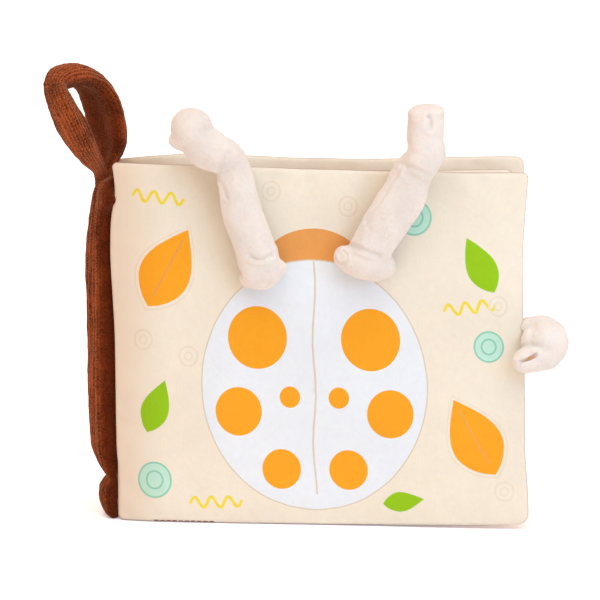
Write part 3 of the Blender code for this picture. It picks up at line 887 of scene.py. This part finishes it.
def leaf_vein(u, v, length, tilt):
    path = placed(u, v, tilt, [(length * (step / 6 - 0.5), 0) for step in range(7)])
    return stroke(path, LINE_WIDTH)


def wave_line(u, v, length, height, waves, tilt, width):
    steps = waves * 12
    path = [(length * k / steps, height / 2 * math.sin(2 * math.pi * waves * k / steps))
            for k in range(steps + 1)]
    return stroke(placed(u, v, tilt, path), width)


def inside_loops(places, loops):
    """Whether places are inside an odd number of the loops."""
    inside = np.zeros(len(places), bool)
    x, y = places[:, 0], places[:, 1]
    for loop in loops:
        for a, b in zip(loop, loop[1:] + loop[:1]):
            if a.y != b.y:
                crossed = (a.y > y) != (b.y > y)
                inside ^= crossed & (x < (b.x - a.x) * (y - a.y) / (b.y - a.y) + a.x)
    return inside


def front_print():
    """A plain beetle seen from above, whose feelers are the two velour pieces, among
    leaves, rings, dots and waves."""
    u, v, across, up = BEETLE
    midline = [Vector((u + MIDLINE_SWAY * math.sin(k), NECK - MIDLINE_STEP * k))
               for k in range(15)]
    shapes = [(TAN, [ellipse(*HEAD)]),
              (LINE, [ellipse(u, v, across + BEETLE_RIM, up + BEETLE_RIM)]),
              (WHITE, [ellipse(*BEETLE)]), (LINE, [stroke(midline, LINE_WIDTH)])]
    shapes += [(AMBER, [ellipse(u, v, size, size * STRETCH)]) for u, v, size in SPOTS]
    for u, v, length, width, tilt in AMBER_LEAVES:
        rim = [leaf_shape(u, v, length + more, width + wider, tilt) for more, wider in AMBER_RIM]
        shapes += [(DUNE, rim), (AMBER, [leaf_shape(u, v, length, width, tilt)]),
                   (TAN, [leaf_vein(u, v, length * 0.7, tilt)])]
    shapes += [(LEAF, [leaf_shape(*place)]) for place in GREEN_LEAVES]
    for u, v, size in TARGETS:
        shapes += [(ICE, [ellipse(u, v, size, size * STRETCH)]),
                   (SEA, ring(u, v, size, size * STRETCH, LINE_WIDTH)),
                   (SEA, ring(u, v, size * 0.5, size * 0.54, LINE_WIDTH))]
    shapes += [(SUN, [wave_line(u, v, tilt=tilt, **WAVE_FORM)]) for u, v, tilt in WAVES]
    shapes += [(DUNE, ring(u, v, *sizes)) for u, v in FAINT_RINGS for sizes in FAINT_SIZES]
    return shapes


def scattered_print(seed, colours, size):
    """Rings, dots and leaves that are spread evenly over a panel."""
    random = np.random.default_rng(seed)
    shapes = []
    for row in range(SCATTER_ROWS):
        for column in range(SCATTER_COLUMNS):
            u = size[0] * (column + 0.5 + SCATTER_SPREAD * random.standard_normal()) \
                / SCATTER_COLUMNS
            v = size[1] * (row + 0.5 + SCATTER_SPREAD * random.standard_normal()) / SCATTER_ROWS
            kinds = ([ellipse(u, v, *DOT)], ring(u, v, *SMALL_RING),
                     [leaf_shape(u, v, *SMALL_LEAF, 30 + 70 * column)])
            shapes.append((colours[(row * 2 + column) % len(colours)],
                           kinds[(row + column * 2) % 3]))
    return shapes


def build_leaves(cloths):
    for name, leaf in LEAVES.items():
        grids = blown_leaf(leaf["size"], leaf["seed"])
        for face, side, seed, colours in PANELS[name]:
            shapes = scattered_print(seed, colours, leaf["size"]) if seed else front_print()
            node_name = f"{name}_{face}"
            panel = add_panel(node_name + "_cloth", name, side, shapes, cloths, grids)
            dress(panel, node_name)


def build_fillings(wadding, plastic):
    """What lies inside the leaves: puffed wadding and creased film."""
    for node_name, cad in frame["nodes"].items():
        if not node_name.endswith(("cover_wadding", "crinkle_film")):
            continue
        is_film = node_name.endswith("crinkle_film")
        name = node_name.replace("wadding", "batting").replace("crinkle_film", "foil")
        mesh = refined(node_name, name, 2)
        leaf_name = cad["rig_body"]
        matrix = leaf_matrix(leaf_name)
        flat, back = np.array(matrix.inverted()), np.array(matrix)
        local = (coordinates(mesh) @ flat[:3, :3].T + flat[:3, 3]) / MM
        places = np.stack([local[:, 0] + MARGIN, local[:, 2] - LEAVES[leaf_name]["foot"]], axis=1)
        local[:, 1] = local[:, 1] * FILLING_SHARE + leaf_bend(leaf_name, places)
        set_coordinates(mesh, local * MM @ back[:3, :3].T + back[:3, 3])
        if is_film:
            wrinkle(mesh, FILM_WRINKLES)
            dress(add_object(name, mesh, [plastic]), node_name, leaf_name)
        else:
            mesh.shade_smooth()
            wrinkle(mesh, WADDING_WRINKLES)
            dress(add_object(name, mesh, [wadding]), node_name, leaf_name)


# Spine and loop
SPINE_HEIGHT = 134.6
SPINE_HALF = 10.6
SPINE_RIM = 1.55
SPINE_SIDES = 84
SPINE_BACK = 12
SPINE_ROWS = 190
# Height, and how far the plush stands out to the left there
SPINE_BULGES = [(0, 4.8), (2, 6.2), (6, 7.6), (10, 7.6), (13, 6.2), (15.4, 4.6), (18, 6.2),
                (22, 8.4), (29, 10.2), (40, 10.8), (54, 11.5), (74, 11.9), (92, 12.0),
                (108, 11.6), (118, 10.8), (124, 10.0), (128, 9.2), (131, 7.9), (133, 6.0),
                (134.6, 3.2)]
# Each crease down the plush: depth, place across, sway, the sway's length and the width
SPINE_CREASES = ((1.1, -0.62, 0.1, 21, 0.085), (0.9, 0.35, 0.12, 17, 0.08))
# The plush's folds, the ripples between them, its knitted ribs, and how round it stands out
SPINE_FOLD = 1.5
SPINE_RIPPLE = 0.7
SPINE_RIB = 0.13
SPINE_RIB_SIDES = 4.2
SPINE_ROUND = 0.62
SPINE_FULL = 8
SPINE_FLAT = 0.25
# The knit's steps across the plush, where its inner side starts, and the painted shade in its
# middle and at its edges
SPINE_STEP = 0.42
SPINE_INNER = 36
SPINE_SHADE = 0.14
SHADE_START, SHADE_WIDTH = 0.86, 0.12
# How far from an end the plush is tucked in, and how far below the top gathered and pinched
SPINE_TUCK = 2.2
SPINE_GATHER = 17
SPINE_PINCH = 4
SPINE_GATHERS = 10
SPINE_END_ROW = 0.4
# The lip at the front edge: its height, half its height, and how far it stands out
SPINE_LIP = (126.5, 4.2, 3.7)
LOOP_REACH = 37.0
LOOP_NECK = Vector((-1.95, 0, 136.9))
LOOP_TURN = math.radians(38)
LOOP_MIDDLE = Vector((-0.24, 0, 0.55)) * LOOP_REACH
LOOP_SIDES = 96
LOOP_RIB = 0.14
LOOP_RIB_SIDES = 4.8
LOOP_ROUND = (0.82, 0.9)
LOOP_HOLLOW = 0.3
LOOP_HOLLOW_SHARE = 0.22
LOOP_FOLD = 0.8
LOOP_SHADE = 0.8
LOOP_BREADTH = 40
# The loop's middle line, in shares of its reach from the neck
LOOP_PATH = [
    (-0.050, 0.000, -0.150), (-0.070, -0.050, 0.000), (-0.160, -0.170, 0.150),
    (-0.250, -0.255, 0.310), (-0.355, -0.285, 0.520), (-0.468, -0.255, 0.760),
    (-0.513, -0.180, 0.895), (-0.455, -0.070, 0.980), (-0.320, 0.070, 0.990),
    (-0.170, 0.190, 0.890), (-0.078, 0.255, 0.700), (-0.015, 0.270, 0.480),
    (0.035, 0.205, 0.250), (0.000, 0.060, 0.020), (-0.040, 0.000, -0.140),
]
# Share of the way round, width and thickness
LOOP_SIZES = [(0.000, 5.4, 5.0), (0.071, 5.6, 4.8), (0.143, 9.5, 6.4), (0.214, 12.2, 8.0),
              (0.286, 13.6, 8.4), (0.357, 10.4, 8.6), (0.429, 8.2, 8.6), (0.500, 11.0, 9.0),
              (0.571, 15.0, 8.8), (0.643, 17.6, 8.2), (0.714, 19.4, 7.8), (0.786, 18.4, 7.6),
              (0.857, 14.2, 7.0), (0.929, 6.4, 5.0), (1.000, 5.4, 5.0)]
# Threads: radius along and at the ends, rise of the middle and sink of the ends
THREAD_RADIUS = 0.24
THREAD_END = 0.1
THREAD_RISE = 0.3
THREAD_SINK = 0.1
THREAD_SHARES = (0, 0.12, 0.3, 0.5, 0.7, 0.88, 1)
# Stitches: their length and gap. The tape's seams are this far from its middle, with a sway
# at each height. The foot's seam goes through places along the cloth, so high and so far out.
TAPE_STITCH = (2.6, 1.0)
TAPE_SEAM = 3.4
TAPE_SWAY = ((0, 4), (0.2, 45), (-0.1, 90), (0, 130))
FOOT_STITCH = (2.3, 0.12)
FOOT_SEAM = (14, 20, 27, 33, 39)
FOOT_FLAT, FOOT_RISE, FOOT_OUT = 0.4, 0.45, 0.85


def lofted(name, rings, material, across, along, shades):
    """A closed skin through rings of points. The strip attribute keeps the places across
    and along it in metres, and how much painted shade darkens the pile, from 0 to 1."""
    sides = len(rings[0])
    points = [point for line in rings for point in line]
    faces = []
    for low in range(0, (len(rings) - 1) * sides, sides):
        for k in range(sides):
            a, b = low + k, low + (k + 1) % sides
            faces.append((a, b, b + sides, a + sides))
    for end, order in ((0, -1), (len(rings) - 1, 1)):
        centre = len(points)
        points.append(sum((Vector(p) for p in rings[end]), Vector()) / sides)
        for k in range(sides):
            edge = (end * sides + k, end * sides + (k + 1) % sides)
            faces.append((centre, *edge[::order]))
    mesh = mesh_from(name, points, faces)
    bm = bmesh.new()
    bm.from_mesh(mesh)
    bmesh.ops.recalc_face_normals(bm, faces=bm.faces)
    bm.to_mesh(mesh)
    bm.free()
    strips = [(across[k] * MM, place * MM, row[k])
              for place, row in zip(along, shades) for k in range(sides)]
    strips += [(0, along[0] * MM, 0), (0, along[-1] * MM, 0)]
    attribute = mesh.attributes.new("strip", "FLOAT_VECTOR", "POINT")
    attribute.data.foreach_set("vector", np.asarray(strips, np.float32).ravel())
    return add_object(name, mesh, [material])


def spine_ring(z, bulge):
    """The spine's outline at a height: the round plush, then its flat inner side. It is
    tucked at both ends, gathered and pinched below the top, and has a lip at its front."""
    below_top = SPINE_HEIGHT - z
    tuck = 1 - 0.35 * max(0, 1 - min(z, below_top) / SPINE_TUCK) ** 2
    gather = max(0, 1 - below_top / SPINE_GATHER) ** 1.4
    pinch = 0.4 * max(0, 1 - below_top / SPINE_PINCH) ** 2
    lip = math.exp(-((z - SPINE_LIP[0]) / SPINE_LIP[1]) ** 2)
    line = []
    for k in range(SPINE_SIDES + 1):
        angle = math.pi * (k / SPINE_SIDES - 0.5)
        share, facing = math.sin(angle), math.cos(angle)
        fold = noise.noise(Vector((share * 2.1 + 3, z / 46, 1.7)))
        ripple = noise.noise(Vector((share * 5.2, z / 24, 8.1)))
        crease = sum(depth * math.exp(-((share - place + sway * math.sin(z / wave)) / width) ** 2)
                     for depth, place, sway, wave, width in SPINE_CREASES)
        swell = SPINE_FOLD * fold + SPINE_RIPPLE * ripple - crease
        swell *= facing ** 0.5 * min(1, bulge / SPINE_FULL)
        swell += gather * math.sin(SPINE_GATHERS * angle + 2.5 * fold) * facing
        rib = SPINE_RIB * math.sin(k * 2 * math.pi / SPINE_RIB_SIDES + 2.2 * ripple)
        round_share = facing ** SPINE_ROUND
        out = max(bulge * tuck * round_share + swell + rib, 0.05 * facing)
        tucked = 1 - 0.2 * (1 - round_share) ** 2
        y = share * (SPINE_HALF + 0.35 * facing) * (0.97 + 0.03 * tuck) * tucked
        front = max(-share - 0.8, 0) / 0.2 * lip
        y = y * (1 - pinch * facing) - SPINE_LIP[2] * front
        line.append(Vector((SPINE_RIM - out + 1.1 * front, y, z)) * MM)
    for k in range(1, SPINE_BACK):
        y = (1 - 2 * k / SPINE_BACK) * SPINE_HALF * 0.8
        line.append(Vector((SPINE_RIM + SPINE_FLAT, y, z)) * MM)
    return line


def build_spine(brown, wadding, lining):
    table = smooth_rows(SPINE_BULGES, 6)
    rows = np.linspace(0, SPINE_HEIGHT, SPINE_ROWS)
    rows[1], rows[-2] = SPINE_END_ROW, SPINE_HEIGHT - SPINE_END_ROW
    rings = [spine_ring(z, np.interp(z, table[:, 0], table[:, 1])) for z in rows]
    across = [k * SPINE_STEP for k in range(SPINE_SIDES + 1)]
    across += [SPINE_INNER + k for k in range(1, SPINE_BACK)]
    turns = [math.pi * (min(k, SPINE_SIDES) / SPINE_SIDES - 0.5) for k in range(len(across))]
    # Painted shade: the plush is a little darker all over, and darkest towards its front and back
    # edges
    edge = within((np.abs(np.sin(turns)) - SHADE_START) / SHADE_WIDTH)
    shade = SPINE_SHADE + (1 - SPINE_SHADE) * edge
    spine = lofted("spine_plush", rings, brown, across, rows, [shade] * SPINE_ROWS)
    wrinkle(spine.data, SPINE_WRINKLES)
    dress(spine, "spine_cover", "spine")
    for node_name, name, material, slot in (
            ("spine_wadding", "spine_batting", wadding, "wadding"),
            ("spine_lining", "spine_inner_tape", lining, "leaf_cloth")):
        mesh = refined(node_name, name, 3)
        wrinkle(mesh, TAPE_WRINKLES)
        dress(add_object(name, mesh, [material]), node_name, "spine")


def loop_ring(centre, ahead, share, run, width, thick):
    """The strap's outline at a share of its way round, and how deep each point lies inside
    the loop, where the strap is hollowed, its ribs fade and painted shade darkens it."""
    broad = Vector((math.cos(LOOP_TURN), -math.sin(LOOP_TURN), 0))
    flat = (broad - ahead * broad.dot(ahead) / ahead.length_squared).normalized()
    thin = ahead.cross(flat).normalized()
    inner_sign = math.copysign(1, thin.dot(LOOP_MIDDLE - centre))
    line, shade_depths = [], []
    for side in range(LOOP_SIDES):
        turn = 2 * math.pi * side / LOOP_SIDES
        c, s = math.cos(turn), math.sin(turn)
        inside = min(max(s * inner_sign * 1.3 + 0.1, 0), 1)
        x = math.copysign(abs(c) ** LOOP_ROUND[0], c) * width / 2
        y = math.copysign(abs(s) ** LOOP_ROUND[1], s) * thick / 2
        if y * inner_sign > 0:
            y *= 1 - LOOP_HOLLOW * math.exp(-(x / width / LOOP_HOLLOW_SHARE) ** 2)
        drift = 3 * noise.noise(Vector((side / 9, run / 22, 4)))
        rib = LOOP_RIB * math.sin(side * 2 * math.pi / LOOP_RIB_SIDES + drift) * (1 - inside)
        fold = LOOP_FOLD * noise.noise(Vector((c * 1.6 + 5, s * 1.6, run / 13)))
        grow = 1 + (rib + fold * min(1, 4 * share, 4 * (1 - share))) / (width / 2)
        line.append((LOOP_NECK + centre + flat * x * grow + thin * y * grow) * MM)
        shade_depths.append(inside)
    return line, shade_depths


def build_loop(brown):
    path = [Vector(point) for point in smooth_rows(LOOP_PATH, 12) * LOOP_REACH]
    sizes = smooth_rows(LOOP_SIZES, 8)
    rings, along, shades, run = [], [], [], 0.0
    for row, centre in enumerate(path):
        ahead = ahead_at(path, row)
        share = row / (len(path) - 1)
        width, thick = (np.interp(share, sizes[:, 0], sizes[:, k]) for k in (1, 2))
        line, shade_depths = loop_ring(centre, ahead, share, run, width, thick)
        rings.append(line)
        # Painted shade on the loop's inner side
        shades.append([depth * LOOP_SHADE for depth in shade_depths])
        along.append(run)
        run += ahead.length / 2
    across = [LOOP_BREADTH * abs(side / LOOP_SIDES - 0.5) for side in range(LOOP_SIDES)]
    loop = lofted("loop_strap", rings, brown, across, along, shades)
    wrinkle(loop.data, LOOP_WRINKLES)
    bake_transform(loop)
    dress(loop, "hanging_loop")


def stitched(name, body, path, length, gap, material, out):
    """A row of short threads along a path of places in millimetres."""
    line = smooth_rows(path, 12)
    steps = np.linalg.norm(np.diff(line, axis=0), axis=1)
    run = np.concatenate([[0], np.cumsum(steps)])
    out = Vector(out)
    bm = bmesh.new()
    place = gap / 2
    while place + length < run[-1]:
        spine = []
        for share in THREAD_SHARES:
            at = place + share * length
            point = Vector([np.interp(at, run, line[:, axis]) for axis in range(3)])
            spine.append(point + out * (THREAD_RISE * math.sin(math.pi * share) - THREAD_SINK))
        loops = []
        for row, point in enumerate(spine):
            ahead = ahead_at(spine, row).normalized()
            side = ahead.cross(out).normalized()
            radius = THREAD_RADIUS if 0 < row < len(spine) - 1 else THREAD_END
            rim = circle(point, side, side.cross(ahead), 1, radius, 8)
            loops.append([corner * MM for corner in rim])
        add_tube(bm, loops)
        place += length + gap
    bmesh.ops.recalc_face_normals(bm, faces=bm.faces)
    mesh = mesh_of(bm, name)
    mesh.shade_smooth()
    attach(add_object(name, mesh, [material]), body)


def build_stitches(pale_thread, dark_thread):
    """Threads that hold the tape inside the spine, and that close the front cover's foot."""
    face = coordinates(frame["nodes"]["spine_lining"].data)[:, 0].max() / MM
    for side, y in (("front", -TAPE_SEAM), ("back", TAPE_SEAM)):
        path = [(face, y + sway, z) for sway, z in TAPE_SWAY]
        stitched(f"tape_stitches_{side}", "spine", path, *TAPE_STITCH, pale_thread, (1, 0, 0))
    path = []
    for u in FOOT_SEAM:
        bend = leaf_bend("front_cover", np.array([[u + MARGIN, FOOT_FLAT]]))[0]
        path.append(tuple(COVER @ (Vector((u, bend - FOOT_OUT, FOOT_RISE)) * MM) / MM))
    stitched("foot_stitches", "front_cover", path, *FOOT_STITCH, dark_thread, COVER_OUT)


# Horns and tail. Strands are rows of pixel x and y, distance out in mm and width in pixels,
# with a flatness. Lumps are pixel x and y, distance out, and radii across, up and out in mm.
# Folds are rows of pixel x and y and distance out, with a width and a depth in mm.
PIXELS_PER_MM = 2.61
STRAND_SIDES = 28
CAP_ANGLES = (0.5, 0.9, 1.2, 1.45)
CAP_SHARE = 0.8
# The lip beside a pressed fold: its height as a share of the depth, its place in widths
FOLD_LIP_SHARE = 0.35
FOLD_LIP_PLACE = 1.9
# The open end of the tail's roll, and the radii and lean of the dark piece in it, which is
# painted shadow
TAIL_MOUTH = (528.3, 359.6, 12.7)
ROLL_RADII = (3.2, 0.55, 0.7)
ROLL_LEAN = math.radians(30)
TAIL_CURL = [(528 + x * 0.88 + y * 0.48, 359.5 - x * 0.48 + y * 0.88, 11.4, 11)
             for x, y in ((10.5 * math.cos(turn), 5.2 * math.sin(turn))
                          for turn in (2 * math.pi * step / 12 for step in range(13)))]
LEFT_HORN = dict(
    voxel=0.55, crumple=16,
    strands=[([(262, 275, 9.2, 38), (260, 262, 10, 42), (252, 240, 10.8, 41),
               (244, 218, 11.2, 41), (238, 198, 11.5, 40), (234, 180, 12, 37),
               (232, 166, 12.3, 33), (229, 157, 12.5, 29)], 0.74),
             ([(234, 160, 12.5, 28), (226, 156.5, 13.6, 36), (214, 152, 13.6, 41),
               (203, 143, 13, 42), (195, 132, 12.6, 41)], 0.85),
             ([(247, 280, 8.2, 18), (257, 277, 8.8, 26), (269, 272, 9, 28),
               (278, 267, 8.8, 22)], 1.0)],
    lumps=[(192.5, 129, 12.5, (8.5, 8.5, 8.2)), (180, 141, 12, (4.8, 3.8, 5.0))],
    folds=[([(214, 178, 17), (219, 168, 19), (224, 159, 20), (230, 151, 18)], 1.0, 0.5),
           ([(217, 176, 17), (222, 186, 18), (227, 198, 17)], 0.7, 0.5),
           ([(250, 256, 17), (260, 259, 18), (271, 255, 16)], 0.9, 0.7),
           ([(214, 152, 17), (206, 160, 18), (200, 164, 16)], 0.9, 0.25)],
    wrinkles=[(1.0, (13, 13, 15), 11), (0.42, (4.5, 4.5, 5.5), 12), (0.1, (1.3, 1.3, 1.3), 13)])
RIGHT_HORN = dict(
    voxel=0.55, crumple=17,
    strands=[([(364, 264, 9.6, 40), (369, 252, 10.4, 44), (377, 237, 11, 45),
               (390, 217, 11.4, 47), (399, 204, 11.7, 47), (405.5, 192, 12, 45),
               (411, 177, 12.6, 42), (418, 165, 13.2, 39)], 0.7),
             ([(421.5, 165, 14.4, 37), (426, 152, 14.4, 39), (425.5, 139, 13.8, 36),
               (425.5, 127, 13.2, 37), (425.8, 121, 13, 38)], 0.85),
             ([(343, 257, 8.8, 25), (352, 259.5, 9.4, 31), (364, 262.5, 9.8, 34),
               (376, 265, 9.4, 33), (385, 266, 8.8, 25)], 1.0),
             ([(413, 114.6, 13, 17), (420, 113.4, 13.2, 17.5), (431, 113, 13.2, 17),
               (438, 113.6, 13, 16)], 1.35)],
    lumps=[(434.5, 156.5, 14, (4.4, 4.4, 5.0))],
    folds=[([(402, 164, 18), (414, 168, 20), (427, 174, 19), (437, 178, 17)], 0.9, 0.5),
           ([(401, 167, 16), (387, 190, 17), (371, 215, 17), (358, 236, 17)], 0.6, 0.3),
           ([(350, 245, 18), (364, 250, 19), (380, 256, 18)], 1.0, 0.7),
           ([(339, 247, 15), (334, 254, 13), (337, 263, 15), (344, 264, 17),
             (347, 256, 18), (343, 251, 17)], 0.5, 0.45),
           ([(429, 117, 19), (431, 123, 20), (430, 129, 19)], 0.9, 1.2)],
    wrinkles=[(0.9, (13, 13, 15), 14), (0.3, (4.5, 4.5, 5.5), 15), (0.1, (1.3, 1.3, 1.3), 16)])
TAIL = dict(
    voxel=0.45, crumple=11,
    strands=[([(528, 325, 0.2, 18), (535, 328, 1, 27), (544, 333, 2.5, 36),
               (549, 343, 4, 40), (545, 353, 5.5, 37), (535, 358, 8, 30),
               (525, 361, 9.5, 27)], 0.95),
             (TAIL_CURL, 1.0)],
    lumps=[(546, 341, 3.4, (8.3, 9.2, 8.0)), (532, 342, 4.5, (4.2, 6.5, 5.0))],
    folds=[([(521, 361.8, 15), (528, 359.2, 15), (536, 355, 15)], 0.55, 1.3),
           ([(523, 346, 9), (531, 344, 11), (539, 347, 13)], 0.8, 0.3)],
    wrinkles=[(0.6, (8, 8, 8), 17), (0.25, (3, 3, 3), 18), (0.08, (1.1, 1.1, 1.1), 19)])


def strand(bm, rows, flatness):
    """A closed tube with round ends through the places of a strand's rows."""
    rows = smooth_rows(rows, 5)
    centres = [on_cover(*row[:3]) for row in rows]
    radii = [row[3] / PIXELS_PER_MM / 2 * MM for row in rows]

    def cap(centre, beyond, radius):
        toward = (centre - beyond).normalized()
        return [(centre + toward * radius * CAP_SHARE * math.sin(a), radius * math.cos(a))
                for a in CAP_ANGLES]
    line = [*cap(centres[0], centres[1], radii[0])[::-1], *zip(centres, radii),
            *cap(centres[-1], centres[-2], radii[-1])]
    path = [centre for centre, _ in line]
    loops = []
    for k, (centre, radius) in enumerate(line):
        ahead = ahead_at(path, k).normalized()
        through = (COVER_OUT - ahead * COVER_OUT.dot(ahead)).normalized()
        loops.append(circle(centre, ahead.cross(through), through, flatness, radius,
                            STRAND_SIDES))
    add_tube(bm, loops)


def lump(bm, px, py, out, radii):
    """A ball at a pixel place."""
    made = bmesh.ops.create_icosphere(bm, subdivisions=3, radius=1)
    right = COVER.to_3x3() @ Vector((1, 0, 0))
    centre = on_cover(px, py, out)
    for vert in made["verts"]:
        x, y, z = vert.co
        vert.co = centre + (right * x * radii[0] + Vector((0, 0, 1)) * y * radii[1]
                            + COVER_OUT * z * radii[2]) * MM


def groove(mesh, path, width, depth):
    """Presses a fold into the front of a mesh along a line of pixel places."""
    points, out = coordinates(mesh), normals(mesh)
    ahead = np.array(AHEAD)
    line = np.array([on_cover(*row) for row in smooth_rows(path, 6)])
    line -= (line @ ahead)[:, None] * ahead
    flat = points - (points @ ahead)[:, None] * ahead
    gap = np.full(len(points), 1e9)
    for a, b in zip(line, line[1:]):
        span = b - a
        t = np.clip(((flat - a) @ span) / (span @ span), 0, 1)
        gap = np.minimum(gap, np.linalg.norm(flat - a - t[:, None] * span, axis=1))
    facing = np.clip(-2 * (out @ ahead), 0, 1)
    away = gap / (width * MM)
    press = np.exp(-away ** 2) - FOLD_LIP_SHARE * np.exp(-(away - FOLD_LIP_PLACE) ** 2)
    set_coordinates(mesh, points - out * (press * facing * depth * MM)[:, None])


def soft_piece(name, form, body, node_name, material):
    """Tubes and balls melted to one soft skin, with folds pressed in and a crumpled nap."""
    bm = bmesh.new()
    for rows, flatness in form["strands"]:
        strand(bm, rows, flatness)
    for place in form["lumps"]:
        lump(bm, *place)
    bmesh.ops.recalc_face_normals(bm, faces=bm.faces)
    rough = add_object(name + "_rough", mesh_of(bm, name + "_rough"))
    melt = rough.modifiers.new("Melt", "REMESH")
    melt.mode = "VOXEL"
    melt.voxel_size = form["voxel"] * MM
    ease = rough.modifiers.new("Ease", "SMOOTH")
    ease.factor = 0.5
    ease.iterations = 5
    skin = evaluated(rough, name)
    bpy.data.objects.remove(rough, do_unlink=True)
    skin.shade_smooth()
    for path, width, depth in form["folds"]:
        groove(skin, path, width, depth)
    crumple(skin, form["crumple"])
    wrinkle(skin, form["wrinkles"])
    dress(add_object(name, skin, [material]), node_name, body)


def build_roll_shadow(material):
    """A dark orange-brown piece in the open end of the tail's roll: painted shadow inside it."""
    bm = bmesh.new()
    lump(bm, *TAIL_MOUTH, ROLL_RADII)
    lean = Matrix.Rotation(ROLL_LEAN, 3, COVER_OUT)
    centre = on_cover(*TAIL_MOUTH)
    for vert in bm.verts:
        vert.co = centre + lean @ (vert.co - centre)
    mesh = mesh_of(bm, "tail_roll_shadow")
    mesh.shade_smooth()
    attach(add_object("tail_roll_shadow", mesh, [material]), "tail")


# Build
add_camera()
add_world()
add_lights()
add_floor()
cloths = [printed_cloth(f"cloth_{k}", colour) for k, colour in enumerate(CLOTH_COLOURS)]
brown = plush("plush_brown", BROWN)
pale = velour("velour_pale", VELOUR)
wadding = filling("wadding_white")
build_leaves(cloths)
build_fillings(wadding, film("film_clear"))
build_spine(brown, wadding, printed_cloth("tape_cloth", CREAM))
build_loop(brown)
build_stitches(thread("thread_pale", PALE_THREAD), thread("thread_dark", DARK_THREAD))
soft_piece("left_horn_velour", LEFT_HORN, "left_horn", "left_horn", pale)
soft_piece("right_horn_velour", RIGHT_HORN, "right_horn", "right_horn", pale)
soft_piece("tail_velour", TAIL, "tail", "tail_knot", pale)
build_roll_shadow(printed_cloth("roll_shadow", ROLL_SHADOW))
